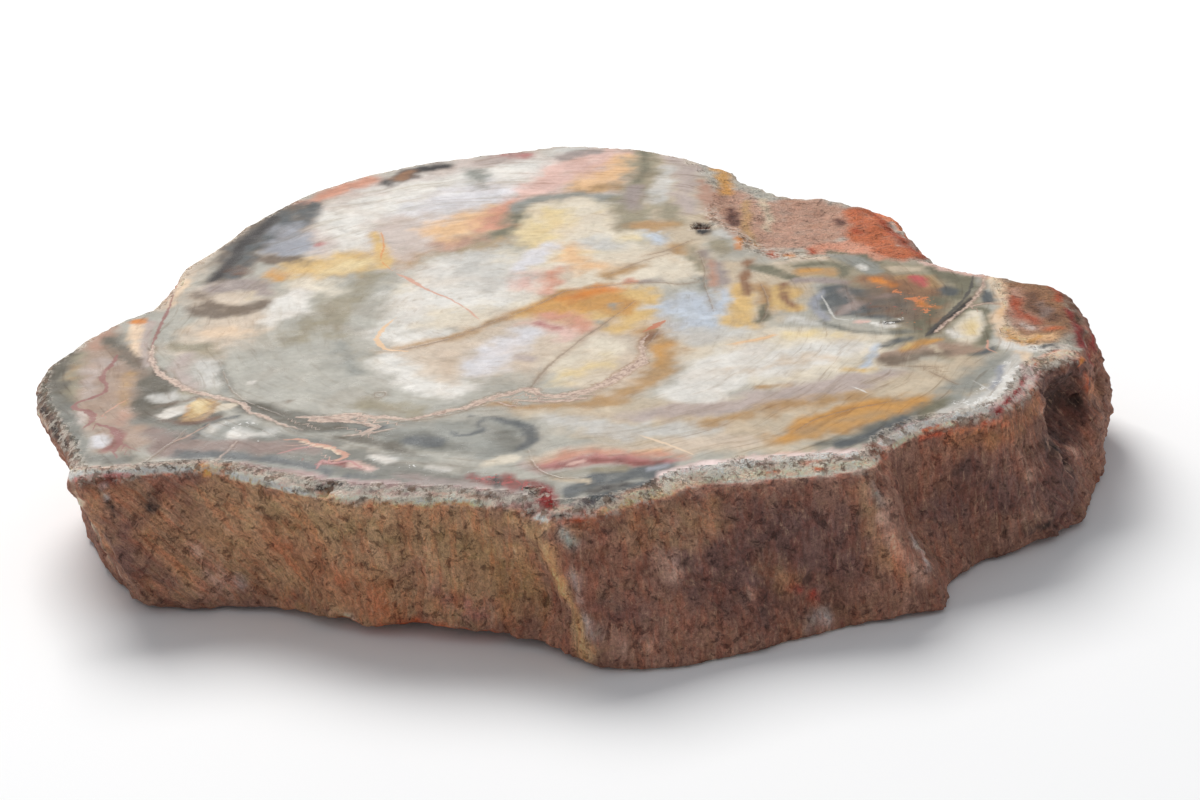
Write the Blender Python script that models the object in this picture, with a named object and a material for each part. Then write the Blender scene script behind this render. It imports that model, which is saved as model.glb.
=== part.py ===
# Petrified wood slice: one solid with a flat polished face, a chipped rim, rough bark-like
# sides that lean with the trunk, a sunken broken patch at the back right and a sawn underside.
# Lengths in the tables are millimetres. The plan is seen from above, with the side that
# faces the viewer towards -Y.

import math

import bmesh
import bpy
from mathutils import Vector, noise

MM = 0.001

# Driving sizes
THICKNESS = 15.0
PLAN_MIDDLE = Vector((0.95, -1.5))
CELLS = 24
WALL_ROWS = (0.07, 0.17, 0.29, 0.42, 0.55, 0.68, 0.8, 0.91, 1.0)

# Surface relief
BARK_LUMP_SIZE = 9.0
BARK_LUMP_HEIGHT = 0.75
BARK_RIB_SIZE = 3.6
BARK_RIB_HEIGHT = 0.35
BARK_RIB_STRETCH = 4.0
BREAK_LUMP_SIZE = 5.0
BREAK_LUMP_HEIGHT = 0.5
BARK_START = 0.25
CHIP_LENGTH = 6.0
CHIP_RINGS = 3
LIP_CHIP_SIZE = 2.5
LIP_DROP_CHIPS = 0.25
LIP_WIDTH_CHIPS = 0.4
FOOT_CHIP_SIZE = 4.0
FOOT_LIFT_CHIPS = 0.25
RIDGE_REACH = 2.0

# Levels at which the noise is read, so that no two reliefs are alike
BREAK_LEVEL = 3.0
LIP_DROP_LEVEL = 40.0
LIP_WIDTH_LEVEL = 60.0
FOOT_LEVEL = 80.0

# Working values: share of the rim over which its direction is taken, distance within which
# points are merged, and how level a face of the polished or sawn side has to be
DIRECTION_STEP = 0.004
MERGE_DISTANCE = 0.0005
LEVEL_FACE = 0.98

# Colour and roughness of the polished face, of the rough sides and of the sawn underside
FINISHES = (
    ("polished_agate", (0.50, 0.46, 0.38), 0.18),
    ("rough_bark", (0.17, 0.10, 0.07), 0.85),
    ("sawn_underside", (0.38, 0.33, 0.27), 0.6),
)

# Stations round the slice, anticlockwise from the right end: a point on the rim of the
# polished side and the point of the foot that the wall below it runs down to.
STATIONS = (
    ((51.2, -12.5), (53.4, -13.0)),
    ((51.5, -6.5), (53.6, -5.5)),
    ((51.0, -2.8), (53.0, -1.0)),
    ((48.4, -1.0), (51.2, 2.0)),
    ((44.6, 0.8), (48.2, 4.8)),
    ((40.8, 2.8), (45.0, 7.6)),
    ((38.8, 7.2), (43.4, 11.0)),
    ((38.2, 12.6), (42.6, 16.2)),
    ((37.2, 18.6), (41.4, 22.0)),
    ((36.4, 24.2), (40.2, 26.6)),
    ((34.4, 28.0), (37.8, 30.2)),
    ((30.2, 30.0), (33.8, 32.8)),
    ((25.8, 31.6), (29.4, 35.0)),
    ((23.0, 34.0), (26.2, 37.2)),
    ((21.0, 36.0), (23.6, 39.4)),
    ((20.0, 38.6), (21.6, 41.2)),
    ((18.2, 40.6), (19.8, 42.4)),
    ((15.2, 41.4), (16.8, 43.0)),
    ((10.5, 45.0), (12.2, 44.6)),
    ((6.0, 46.9), (7.4, 46.0)),
    ((1.0, 48.6), (2.2, 47.4)),
    ((-4.0, 47.7), (-3.0, 46.6)),
    ((-10.0, 46.3), (-8.8, 45.2)),
    ((-16.0, 45.0), (-14.6, 43.6)),
    ((-21.0, 42.6), (-19.4, 41.2)),
    ((-26.0, 39.4), (-24.0, 38.0)),
    ((-30.0, 35.6), (-27.8, 34.2)),
    ((-33.0, 31.0), (-30.6, 30.0)),
    ((-35.5, 27.0), (-33.0, 26.0)),
    ((-37.3, 22.8), (-34.8, 22.0)),
    ((-39.3, 18.5), (-36.6, 18.2)),
    ((-41.0, 15.3), (-38.2, 14.6)),
    ((-41.6, 11.0), (-39.0, 10.5)),
    ((-42.7, 6.5), (-40.3, 6.0)),
    ((-43.4, 3.6), (-41.5, 3.4)),
    ((-45.6, 1.7), (-43.4, 1.2)),
    ((-48.0, -1.4), (-45.5, -1.5)),
    ((-50.4, -5.8), (-47.4, -5.4)),
    ((-52.3, -10.2), (-48.8, -10.6)),
    ((-52.6, -14.4), (-49.0, -14.8)),
    ((-51.7, -19.2), (-48.2, -19.4)),
    ((-50.0, -24.0), (-46.6, -24.0)),
    ((-48.1, -28.2), (-45.0, -28.2)),
    ((-47.0, -31.5), (-43.0, -31.2)),
    ((-46.6, -34.4), (-40.8, -33.8)),
    ((-45.0, -35.7), (-38.8, -35.2)),
    ((-40.0, -35.3), (-35.5, -36.2)),
    ((-35.5, -35.0), (-31.8, -36.5)),
    ((-31.0, -36.4), (-28.0, -37.6)),
    ((-26.5, -39.3), (-23.8, -40.6)),
    ((-21.5, -42.2), (-19.6, -42.4)),
    ((-16.0, -43.3), (-14.5, -43.6)),
    ((-11.0, -44.2), (-10.0, -45.2)),
    ((-7.0, -45.6), (-5.6, -46.4)),
    ((-3.5, -47.8), (-1.8, -48.6)),
    ((0.0, -48.6), (2.4, -51.4)),
    ((4.0, -47.9), (7.0, -52.0)),
    ((8.0, -45.6), (11.6, -51.2)),
    ((12.0, -43.9), (16.2, -49.4)),
    ((17.0, -43.0), (21.6, -47.2)),
    ((22.0, -42.8), (26.4, -45.6)),
    ((26.4, -42.6), (31.4, -44.9)),
    ((27.9, -41.0), (33.9, -43.6)),
    ((28.8, -38.4), (34.3, -40.2)),
    ((30.8, -36.2), (35.6, -37.4)),
    ((33.5, -34.6), (38.2, -35.0)),
    ((37.0, -33.7), (41.8, -33.4)),
    ((40.0, -32.3), (44.8, -31.8)),
    ((42.3, -30.2), (47.4, -29.6)),
    ((44.0, -27.3), (49.2, -27.0)),
    ((45.2, -24.4), (50.2, -24.2)),
    ((47.0, -22.2), (51.0, -21.4)),
    ((49.4, -20.9), (51.9, -18.8)),
    ((50.3, -17.0), (52.8, -16.2)),
)

# Chipped lip between the polished face and the wall, by plan angle in degrees:
# angle, width of the lip, how far its outer edge drops
LIP = (
    (-143.0, 1.2, 1.0),
    (-128.0, 0.8, 0.6),
    (-117.0, 1.6, 1.0),
    (-100.0, 1.3, 0.9),
    (-93.0, 2.2, 1.6),
    (-86.0, 1.6, 1.2),
    (-78.0, 2.6, 1.5),
    (-60.0, 2.8, 1.6),
    (-56.0, 1.5, 1.0),
    (-38.0, 1.6, 1.0),
    (-27.0, 2.0, 1.1),
    (-14.0, 1.4, 0.6),
    (0.0, 1.2, 0.5),
    (5.0, 1.0, 0.6),
    (12.0, 2.0, 1.0),
    (30.0, 3.4, 1.3),
    (50.0, 2.4, 1.0),
    (65.0, 1.6, 0.8),
    (72.0, 1.0, 0.7),
    (120.0, 0.9, 0.6),
    (175.0, 0.9, 0.6),
)

# Lower edge chipped off the underside, by plan angle: angle, how far the edge is lifted
FOOT_CHIPS = (
    (-180.0, 0.3),
    (-140.0, 0.1),
    (-133.0, 0.5),
    (-120.0, 1.3),
    (-110.0, 1.7),
    (-98.0, 1.5),
    (-92.0, 0.8),
    (-88.0, 0.1),
    (-62.0, 0.0),
    (-56.0, 0.5),
    (-48.0, 0.1),
    (-33.0, 0.7),
    (-25.0, 0.2),
    (0.0, 0.5),
    (60.0, 0.4),
    (120.0, 0.6),
)

# Outward belly of the wall at mid height, by plan angle
BELLY = (
    (-180.0, -0.8),
    (-158.0, -1.2),
    (-145.0, -0.2),
    (-120.0, 0.2),
    (-98.0, -0.5),
    (-84.0, 0.3),
    (-66.0, 0.8),
    (-52.0, -0.6),
    (-40.0, 0.6),
    (-26.0, 0.0),
    (-12.0, 1.2),
    (20.0, 1.2),
    (60.0, 0.2),
    (100.0, 0.8),
    (165.0, 0.2),
)

# Inner edge of the broken patch that is sunk below the polished face, from rim to rim
BREAK_EDGE = (
    (13.0, 47.0),
    (15.4, 39.0),
    (16.8, 34.0),
    (17.2, 28.0),
    (16.2, 22.5),
    (16.8, 19.6),
    (18.8, 16.8),
    (19.2, 12.6),
    (22.0, 8.5),
    (27.0, 8.2),
    (31.0, 9.3),
    (33.2, 7.3),
    (38.5, 4.6),
    (46.0, 1.0),
)
BREAK_LEDGE = 0.6
BREAK_LEDGE_WIDTH = 1.6
BREAK_LUMP_START = 3.2
BREAK_SLOPE = 0.05

# Inner edge of the rough right corner, from rim to rim
CORNER_EDGE = (
    (43.8, 6.0),
    (44.2, -1.5),
    (44.9, -7.0),
    (43.4, -12.0),
    (43.6, -16.5),
    (45.4, -19.6),
    (50.0, -23.0),
)
CORNER_LEDGE = 0.25
CORNER_LEDGE_WIDTH = 1.0
CORNER_LUMP_HEIGHT = 0.25
CORNER_LUMP_START = 2.0
CORNER_SLOPE = 0.05

# Hollows pressed into the surface: middle x, y, z, radius along the plan, radius upwards, depth
HOLLOWS = {
    "dark_hollow_under_corner": ((48.2, -23.6, 9.4), 5.4, 4.8, 3.2),
    "lower_right_hollow": ((50.6, -25.0, 4.0), 4.5, 2.8, 1.4),
    "recess_beside_corner_ridge": ((31.5, -38.6, 6.0), 3.4, 9.0, 1.2),
    "scoop_left_of_front_ridge": ((-4.5, -47.4, 5.0), 3.2, 6.0, 1.0),
    "scoop_right_of_front_ridge": ((4.5, -49.6, 8.0), 3.0, 4.0, 0.7),
    "hollow_in_right_wall": ((52.0, -14.0, 8.0), 4.0, 3.0, 1.3),
    "hollow_in_back_wall": ((8.0, 46.0, 6.0), 5.0, 3.5, 1.4),
    "hollow_in_left_wall": ((-49.0, -3.0, 7.0), 4.0, 4.5, 1.2),
    "hollow_in_back_left_wall": ((-34.0, 27.5, 6.0), 5.0, 4.0, 1.3),
}

# Ridges that stand out of the wall: top point, bottom point, half width, height
RIDGES = {
    "front_ridge": ((-1.0, -48.8, 13.5), (2.0, -51.0, 0.5), 2.0, 1.1),
    "corner_ridge": ((27.4, -42.0, 13.0), (33.0, -44.0, 0.5), 2.6, 0.4),
    "left_corner_ridge": ((-46.2, -35.2, 13.5), (-40.2, -34.6, 0.5), 1.6, 0.8),
    "slanted_left_rib": ((-42.6, -35.8, 12.5), (-35.6, -36.2, 2.0), 1.0, 0.6),
    "right_ledge": ((46.0, -24.8, 5.6), (52.0, -17.0, 6.6), 1.8, 1.0),
    "right_wall_rib": ((50.8, -9.0, 12.0), (53.0, -8.0, 2.0), 2.4, 0.9),
    "back_right_rib": ((34.5, 26.0, 11.0), (39.0, 28.0, 1.0), 2.6, 1.0),
    "back_rib": ((-4.0, 47.6, 13.0), (-3.0, 46.6, 1.0), 2.8, 0.9),
    "back_left_rib": ((-30.5, 35.0, 13.0), (-28.0, 34.0, 1.0), 2.6, 0.9),
    "left_rib": ((-51.4, -9.0, 10.0), (-48.4, -8.0, 1.0), 2.8, 0.7),
}

# Pits let into the top: place x, y and depth; each takes the face of the mesh nearest to it
PITS = {
    "hole_beside_break": ((15.0, 18.4), 3.2),
    "rim_pit": ((-21.8, -40.4), 1.4),
    "red_rim_pit": ((-3.4, -45.6), 0.9),
}
PIT_WALL = 0.5
PIT_FLOOR = 0.8


def closed_spline(points, place):
    """Point at a place on the smooth closed curve through the given points."""
    count = len(points)
    start = math.floor(place)
    t = place - start
    before, here, after, beyond = (Vector(points[(start + k) % count]) for k in (-1, 0, 1, 2))
    return 0.5 * (
        2.0 * here
        + (after - before) * t
        + (2.0 * before - 5.0 * here + 4.0 * after - beyond) * t * t
        + (3.0 * here - before - 3.0 * after + beyond) * t ** 3
    )


RIM = [station[0] for station in STATIONS]
FOOT = [station[1] for station in STATIONS]


def even_places(samples_per_station=12):
    """Running length of the rim at finely spaced places, to space points evenly round it."""
    places = [k / samples_per_station for k in range(len(RIM) * samples_per_station + 1)]
    points = [closed_spline(RIM, place) for place in places]
    lengths = [0.0]
    for last, point in zip(points, points[1:]):
        lengths.append(lengths[-1] + (point - last).length)
    return places, [length / lengths[-1] for length in lengths]


PLACES, SHARES = even_places()


def place_at(share):
    """Place on the outlines at a share of the way round the rim."""
    share %= 1.0
    low = 0
    high = len(SHARES) - 1
    while high - low > 1:
        middle = (low + high) // 2
        if SHARES[middle] <= share:
            low = middle
        else:
            high = middle
    part = (share - SHARES[low]) / (SHARES[high] - SHARES[low])
    return PLACES[low] + part * (PLACES[high] - PLACES[low])


def by_angle(table, point):
    """Values of a table that runs by plan angle, at the angle of a point."""
    angle = math.degrees(math.atan2(point.y, point.x))
    rows = [(table[-1][0] - 360.0, *table[-1][1:]), *table, (table[0][0] + 360.0, *table[0][1:])]
    for low, high in zip(rows, rows[1:]):
        if low[0] <= angle <= high[0]:
            part = (angle - low[0]) / (high[0] - low[0])
            return [a + part * (b - a) for a, b in zip(low[1:], high[1:])]
    return list(rows[0][1:])


def smooth_step(value):
    """Value held between 0 and 1, with soft ends."""
    value = min(max(value, 0.0), 1.0)
    return value * value * (3.0 - 2.0 * value)


def side_of_line(point, line):
    """Distance from a plan point to an open line, positive on the line's left."""
    nearest = None
    for start, end in zip(line, line[1:]):
        start = Vector(start)
        along = Vector(end) - start
        share = min(max((point - start).dot(along) / along.length_squared, 0.0), 1.0)
        away = point - (start + share * along)
        turn = along.x * away.y - along.y * away.x
        if nearest is None or away.length < abs(nearest):
            nearest = math.copysign(away.length, turn)
    return nearest


def rough(point, size, octaves=3):
    """Lumpy noise between about -1 and 1."""
    return noise.fractal(point / size, 1.0, 2.0, octaves, noise_basis="PERLIN_ORIGINAL")


def face_height(point):
    """Height of the upper side at a plan point: flat, with the break and the corner sunk."""
    lump = rough(Vector((point.x, point.y, BREAK_LEVEL)), BREAK_LUMP_SIZE)
    into_break = side_of_line(point, BREAK_EDGE)
    into_corner = side_of_line(point, CORNER_EDGE)
    drop = 0.0
    if into_break > 0.0:
        sunk = BREAK_LEDGE * smooth_step(into_break / BREAK_LEDGE_WIDTH)
        lumps = BREAK_LUMP_HEIGHT * lump * smooth_step(into_break / BREAK_LUMP_START)
        drop = sunk + BREAK_SLOPE * into_break - lumps
    if into_corner > 0.0:
        sunk = CORNER_LEDGE * smooth_step(into_corner / CORNER_LEDGE_WIDTH)
        lumps = CORNER_LUMP_HEIGHT * lump * smooth_step(into_corner / CORNER_LUMP_START)
        drop = max(drop, sunk + CORNER_SLOPE * into_corner - lumps)
    return THICKNESS - max(drop, 0.0)


def ring_of(column, row):
    """Ring number of a grid point, and its share of the way round that ring."""
    ring = max(abs(column), abs(row))
    if ring == 0:
        return 0, 0.0
    if column == ring and row > -ring:
        along = row + ring
    elif row == ring:
        along = 3 * ring - column
    elif column == -ring:
        along = 5 * ring - row
    else:
        along = 7 * ring + column
    return ring, along / (8.0 * ring)


def rim_point(share):
    """Outer edge of the lip: it drops below the face and carries the break's slope."""
    plan = closed_spline(RIM, place_at(share))
    drop = by_angle(LIP, plan)[1]
    chip = LIP_DROP_CHIPS * rough(Vector((plan.x, plan.y, LIP_DROP_LEVEL)), LIP_CHIP_SIZE, 2)
    return Vector((plan.x, plan.y, face_height(plan) - drop * (1.0 + chip)))


def top_point(column, row):
    """Point of the upper side: the outer ring is the rim, the next one the face's edge."""
    ring, share = ring_of(column, row)
    if ring == CELLS:
        return rim_point(share)
    rim = closed_spline(RIM, place_at(share))
    chip = LIP_WIDTH_CHIPS * rough(Vector((rim.x, rim.y, LIP_WIDTH_LEVEL)), LIP_CHIP_SIZE, 2)
    width = by_angle(LIP, rim)[0] * (1.0 + chip)
    reach = 1.0 - width / rim.length
    plan = rim * reach * ring / (CELLS - 1)
    return Vector((plan.x, plan.y, face_height(plan)))


def foot_point(share):
    """Point where the wall meets the underside, lifted where the edge is chipped off."""
    plan = closed_spline(FOOT, place_at(share))
    chip = FOOT_LIFT_CHIPS * rough(Vector((plan.x, plan.y, FOOT_LEVEL)), FOOT_CHIP_SIZE, 2)
    lift = by_angle(FOOT_CHIPS, plan)[0] * (1.0 + chip)
    return Vector((plan.x, plan.y, max(lift, 0.0)))


def base_point(column, row):
    """Point of the underside: flat, with chips that run out towards its edge."""
    ring, share = ring_of(column, row)
    foot = foot_point(share)
    if ring == CELLS:
        return foot
    flat_rings = CELLS - CHIP_RINGS
    chipped = max(0.0, (ring - flat_rings) / CHIP_RINGS)
    reach = 1.0 - (1.0 - chipped) * CHIP_LENGTH / foot.xy.length
    if ring < flat_rings:
        reach *= ring / flat_rings
    return Vector((foot.x * reach, foot.y * reach, foot.z * chipped * chipped))


def hollow_depth(point):
    """How far the hollows near a wall point press it in."""
    depth = 0.0
    for middle, along, up, deep in HOLLOWS.values():
        away = point - Vector(middle)
        reach = math.hypot(away.xy.length / along, away.z / up)
        depth += deep * smooth_step(1.0 - reach)
    return depth


def ridge_height(point):
    """How far the ridges near a wall point push it out."""
    height = 0.0
    for top, bottom, half_width, rise in RIDGES.values():
        top = Vector(top)
        along = Vector(bottom) - top
        share = min(max((point - top).dot(along) / along.length_squared, 0.0), 1.0)
        away = (point - (top + share * along)).length
        height += rise * smooth_step(1.0 - away / (RIDGE_REACH * half_width))
    return height


def wall_point(share, down):
    """Point of the side wall, pushed in and out by the belly, ridges, hollows and bark."""
    rim = rim_point(share)
    foot = foot_point(share)
    point = rim.lerp(foot, down)
    before = closed_spline(RIM, place_at(share - DIRECTION_STEP))
    after = closed_spline(RIM, place_at(share + DIRECTION_STEP))
    along = after - before
    outward = Vector((along.y, -along.x, 0.0)).normalized()
    bend = math.sin(math.pi * down)
    lumps = BARK_LUMP_HEIGHT * rough(point, BARK_LUMP_SIZE)
    ribs = Vector((point.x, point.y, point.z / BARK_RIB_STRETCH))
    lumps += BARK_RIB_HEIGHT * rough(ribs, BARK_RIB_SIZE)
    push = by_angle(BELLY, rim)[0] * bend + ridge_height(point) - hollow_depth(point)
    push += lumps * smooth_step(down / BARK_START)
    return point + push * outward


def flat_grid(bm, place):
    """Grid whose square rings are laid out as rings round the middle of the slice."""
    size = 2 * CELLS
    made = bmesh.ops.create_grid(bm, x_segments=size, y_segments=size, size=CELLS)
    faces = {face for vertex in made["verts"] for face in vertex.link_faces}
    for vertex in made["verts"]:
        vertex.co = place(round(vertex.co.x), round(vertex.co.y))
    return list(faces)


def outer_loop(faces):
    """Border edges of a sheet of faces."""
    return list({edge for face in faces for edge in face.edges if len(edge.link_faces) == 1})


def sink_pit(bm, top, place, depth):
    """Inset the face nearest to a place and sink it."""
    place = Vector(place)
    face = min(top, key=lambda f: (f.calc_center_median().xy - place).length)
    bmesh.ops.inset_individual(bm, faces=[face], thickness=PIT_WALL, use_even_offset=True)
    bmesh.ops.translate(bm, verts=face.verts, vec=(0.0, 0.0, -depth))
    middle = face.calc_center_median()
    for vertex in face.verts:
        vertex.co = middle + PIT_FLOOR * (vertex.co - middle)


def ring_keys():
    """Column and row of every point on the outer ring of the grid."""
    span = range(-CELLS, CELLS + 1)
    return [(column, row) for column in span for row in span if max(abs(column), abs(row)) == CELLS]


def grow_wall(bm, top):
    """Extrude the border of the upper side row by row down to the foot."""
    shares = {top_point(*key).to_tuple(4): ring_of(*key)[1] for key in ring_keys()}
    loop = outer_loop(top)
    share_of = {v: shares[v.co.to_tuple(4)] for edge in loop for v in edge.verts}
    for down in WALL_ROWS:
        made = bmesh.ops.extrude_edge_only(bm, edges=loop)["geom"]
        loop = [item for item in made if isinstance(item, bmesh.types.BMEdge)]
        above = {v.co.to_tuple(4): share for v, share in share_of.items()}
        share_of = {v: above[v.co.to_tuple(4)] for edge in loop for v in edge.verts}
        for vertex, share in share_of.items():
            vertex.co = foot_point(share) if down == 1.0 else wall_point(share, down)


def build_slice():
    """Upper side, wall, underside and pits as one closed mesh, in millimetres."""
    bm = bmesh.new()
    top = flat_grid(bm, top_point)
    grow_wall(bm, top)
    base = flat_grid(bm, base_point)
    bmesh.ops.reverse_faces(bm, faces=base)
    bmesh.ops.remove_doubles(bm, verts=bm.verts, dist=MERGE_DISTANCE)
    for place, depth in PITS.values():
        sink_pit(bm, [face for face in top if face.is_valid], place, depth)
    bmesh.ops.recalc_face_normals(bm, faces=bm.faces)
    bmesh.ops.triangulate(bm, faces=bm.faces, quad_method="BEAUTY", ngon_method="BEAUTY")
    return bm


def finish(name, colour, roughness):
    """Principled material of one kind of surface."""
    material = bpy.data.materials.new(name)
    material.use_nodes = True
    shader = material.node_tree.nodes["Principled BSDF"]
    shader.inputs["Base Color"].default_value = (*colour, 1.0)
    shader.inputs["Roughness"].default_value = roughness
    shader.inputs["Metallic"].default_value = 0.0
    return material


def main():
    """Build the slice at its real size, with a finish for each kind of surface."""
    for old in list(bpy.data.objects):
        bpy.data.objects.remove(old)
    bm = build_slice()
    for vertex in bm.verts:
        vertex.co.x = (vertex.co.x - PLAN_MIDDLE.x) * MM
        vertex.co.y = (vertex.co.y - PLAN_MIDDLE.y) * MM
        vertex.co.z *= MM
    mesh = bpy.data.meshes.new("petrified_wood_slice")
    bm.normal_update()
    for face in bm.faces:
        level = face.normal.z
        face.material_index = 0 if level > LEVEL_FACE else 2 if level < -LEVEL_FACE else 1
    bm.to_mesh(mesh)
    bm.free()
    for name, colour, roughness in FINISHES:
        mesh.materials.append(finish(name, colour, roughness))
    piece = bpy.data.objects.new("petrified_wood_slice", mesh)
    bpy.context.scene.collection.objects.link(piece)


main()
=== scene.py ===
"""Petrified wood slice: dense stone surface, agate markings, rough bark, sawn underside and stage.

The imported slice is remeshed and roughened, its markings are laid out as named zones, seams
and flecks on a plan of the polished face, and three stone materials turn them into colour.
"""

import math

import bmesh
import bpy
import numpy as np
from bpy.props import FloatProperty, FloatVectorProperty, PointerProperty
from bpy.types import Operator, Panel, PropertyGroup
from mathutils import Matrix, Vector, kdtree, noise


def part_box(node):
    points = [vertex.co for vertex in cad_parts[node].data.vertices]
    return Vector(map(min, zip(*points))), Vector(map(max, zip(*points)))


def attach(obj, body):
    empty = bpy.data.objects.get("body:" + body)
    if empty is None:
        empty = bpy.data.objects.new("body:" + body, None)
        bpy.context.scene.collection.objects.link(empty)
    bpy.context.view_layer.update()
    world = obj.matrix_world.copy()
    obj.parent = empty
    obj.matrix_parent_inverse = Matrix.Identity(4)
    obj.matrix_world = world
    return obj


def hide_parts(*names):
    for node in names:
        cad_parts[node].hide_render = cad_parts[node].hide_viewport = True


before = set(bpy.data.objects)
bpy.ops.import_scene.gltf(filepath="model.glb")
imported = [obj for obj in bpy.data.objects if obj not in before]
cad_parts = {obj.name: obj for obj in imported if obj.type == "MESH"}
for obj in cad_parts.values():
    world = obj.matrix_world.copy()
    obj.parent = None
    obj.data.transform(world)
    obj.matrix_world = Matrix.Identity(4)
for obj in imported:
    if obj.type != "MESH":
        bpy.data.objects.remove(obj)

bl_info = {
    "name": "Petrified Wood Slice",
    "version": (1, 0, 0),
    "blender": (4, 5, 0),
    "location": "3D View > Sidebar > Stone",
    "description": "Builds a polished slice of petrified wood with agate markings and rough bark",
    "category": "Object",
}

NODE = "petrified_wood_slice"
BODY = "root"

# Lengths in the tables are millimetres. The plan of the markings is seen from above, with
# the side that faces the viewer towards -Y; its point PLAN_MIDDLE lies at the origin.
MM = 0.001
PLAN_MIDDLE = np.array((0.95, -1.5))
FACE_HEIGHT = 1000.0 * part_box(NODE)[1].z

# The growth rings run round this point of the plan; a whole turn has this many millimetres
# for each radian, so that the streaks along them are long
RING_MIDDLE = np.array((-6.0, -3.0))
RING_TURN = 4.0

# The wandering of the markings is drawn from this seed, so that every run gives the same slice
NOISE_SEED = 11

# The tints are the colours of the face as it is seen: with the sheen of the polish on it, and
# under the stage light. The stone's own colour has neither.
SHEEN = 0.04
STAGE_LIGHT = 1.02

# The markings lean outward below the face: plan millimetres for each millimetre of depth, down
# to a depth. A little below that they end.
MARKING_LEAN = np.array((0.0, 2.2))
LEAN_DEPTH = 3.0
MARKED_DEPTH = 3.2
# The trunk's lean carries the markings sideways on their way to the underside
TRUNK_SHIFT = np.array((2.4, -1.6))

# Points this near to the height of the face or of the underside are laid flat on it, and faces
# within the second distance of it belong to it
SNAP = 0.08
FLAT = 0.001
# Materials of the piece, in their order
POLISHED, ROUGH, SAWN = 0, 1, 2

# Noise layers that push the rough stone in and out: kind, size, seed, octaves, share of the
# relief. The pits are a layer of their own.
RELIEF_LAYERS = (
    ("lumps", 3.4, 1.0, 4, 0.75),
    ("crags", 1.9, 2.0, 3, 0.4),
    ("leaned lumps", 1.1, 3.0, 3, 0.35),
    ("lumps", 0.8, 4.0, 2, 0.3),
)
PIT_SHARE = 0.9
# The rough corner right of this plan place has more relief, by this share
CORNER_START, CORNER_END = 41.0, 45.0
CORNER_RELIEF = 0.45

# Chips of the polished face's edge: how far in they reach, their size and their depth
CHIP_REACH = 2.6
CHIP_SIZE = 2.2
CHIP_DEPTH = 0.6

# Mottles of the bark: which coordinates they follow, their size, where their noise starts and
# ends, their strength, and the colour that they multiply
MOTTLES = (
    ("grown", 1.1, 0.47, 0.6, 0.45, (1.16, 0.72, 0.58, 1.0)),
    ("place", 1.6, 0.5, 0.62, 0.5, (0.92, 1.0, 0.86, 1.0)),
    ("grown", 0.7, 0.52, 0.64, 0.5, (1.25, 1.3, 1.4, 1.0)),
    ("grown", 2.6, 0.46, 0.6, 0.5, (0.62, 0.54, 0.52, 1.0)),
    ("grown", 4.5, 0.5, 0.62, 0.5, (1.3, 1.12, 0.94, 1.0)),
)
# Brightest the rough stone gets, whatever its mottles and grit do
ROUGH_LIMIT = (0.88, 0.86, 0.82)

# Fine flecks of the polished face: name of their patches, size, colour
FLECKS = (
    ("soot", 0.8, (62, 54, 50)),
    ("amber", 1.3, (214, 128, 76)),
    ("red", 1.1, (176, 74, 70)),
    ("frost", 0.9, (236, 234, 230)),
)

# Growth rings of the polished face: how often, where their noise starts, strength, colour
RINGS = (
    (0.5, 0.5, 0.3, (0.66, 0.6, 0.5, 1.0)),
    (1.6, 0.52, 0.3, (0.55, 0.46, 0.38, 1.0)),
)

# Stage, in metres, watts and degrees
FLOOR_RADIUS = 2.5
FLOOR_DROP = 0.00002
KEY_PLACE = (-0.2, 0.5, 0.62)
KEY_SIZE = 0.42
KEY_POWER = 7.0
KEY_COLOUR = (1.0, 0.985, 0.96)
ROOM_COLOUR = (0.93, 0.96, 1.0, 1.0)
ROOM_STRENGTH = 0.42
CAMERA_PLACE = (0.00205, -0.2845, 0.132)
CAMERA_TURN = (65.7722, 2.8189, -1.2679)
CAMERA_LENS = 90.0


def srgb(red, green, blue):
    """Linear colour of the 0 to 255 values that a colour picker shows."""
    shares = [value / 255.0 for value in (red, green, blue)]
    return [s / 12.92 if s <= 0.04045 else ((s + 0.055) / 1.055) ** 2.4 for s in shares]


def tint(label, red, green, blue):
    """Colour property of one stone tint."""
    return FloatVectorProperty(
        name=label,
        description="Stone tint: " + label.lower(),
        default=srgb(red, green, blue),
        min=0.0,
        max=1.0,
        subtype="COLOR",
    )


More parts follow.
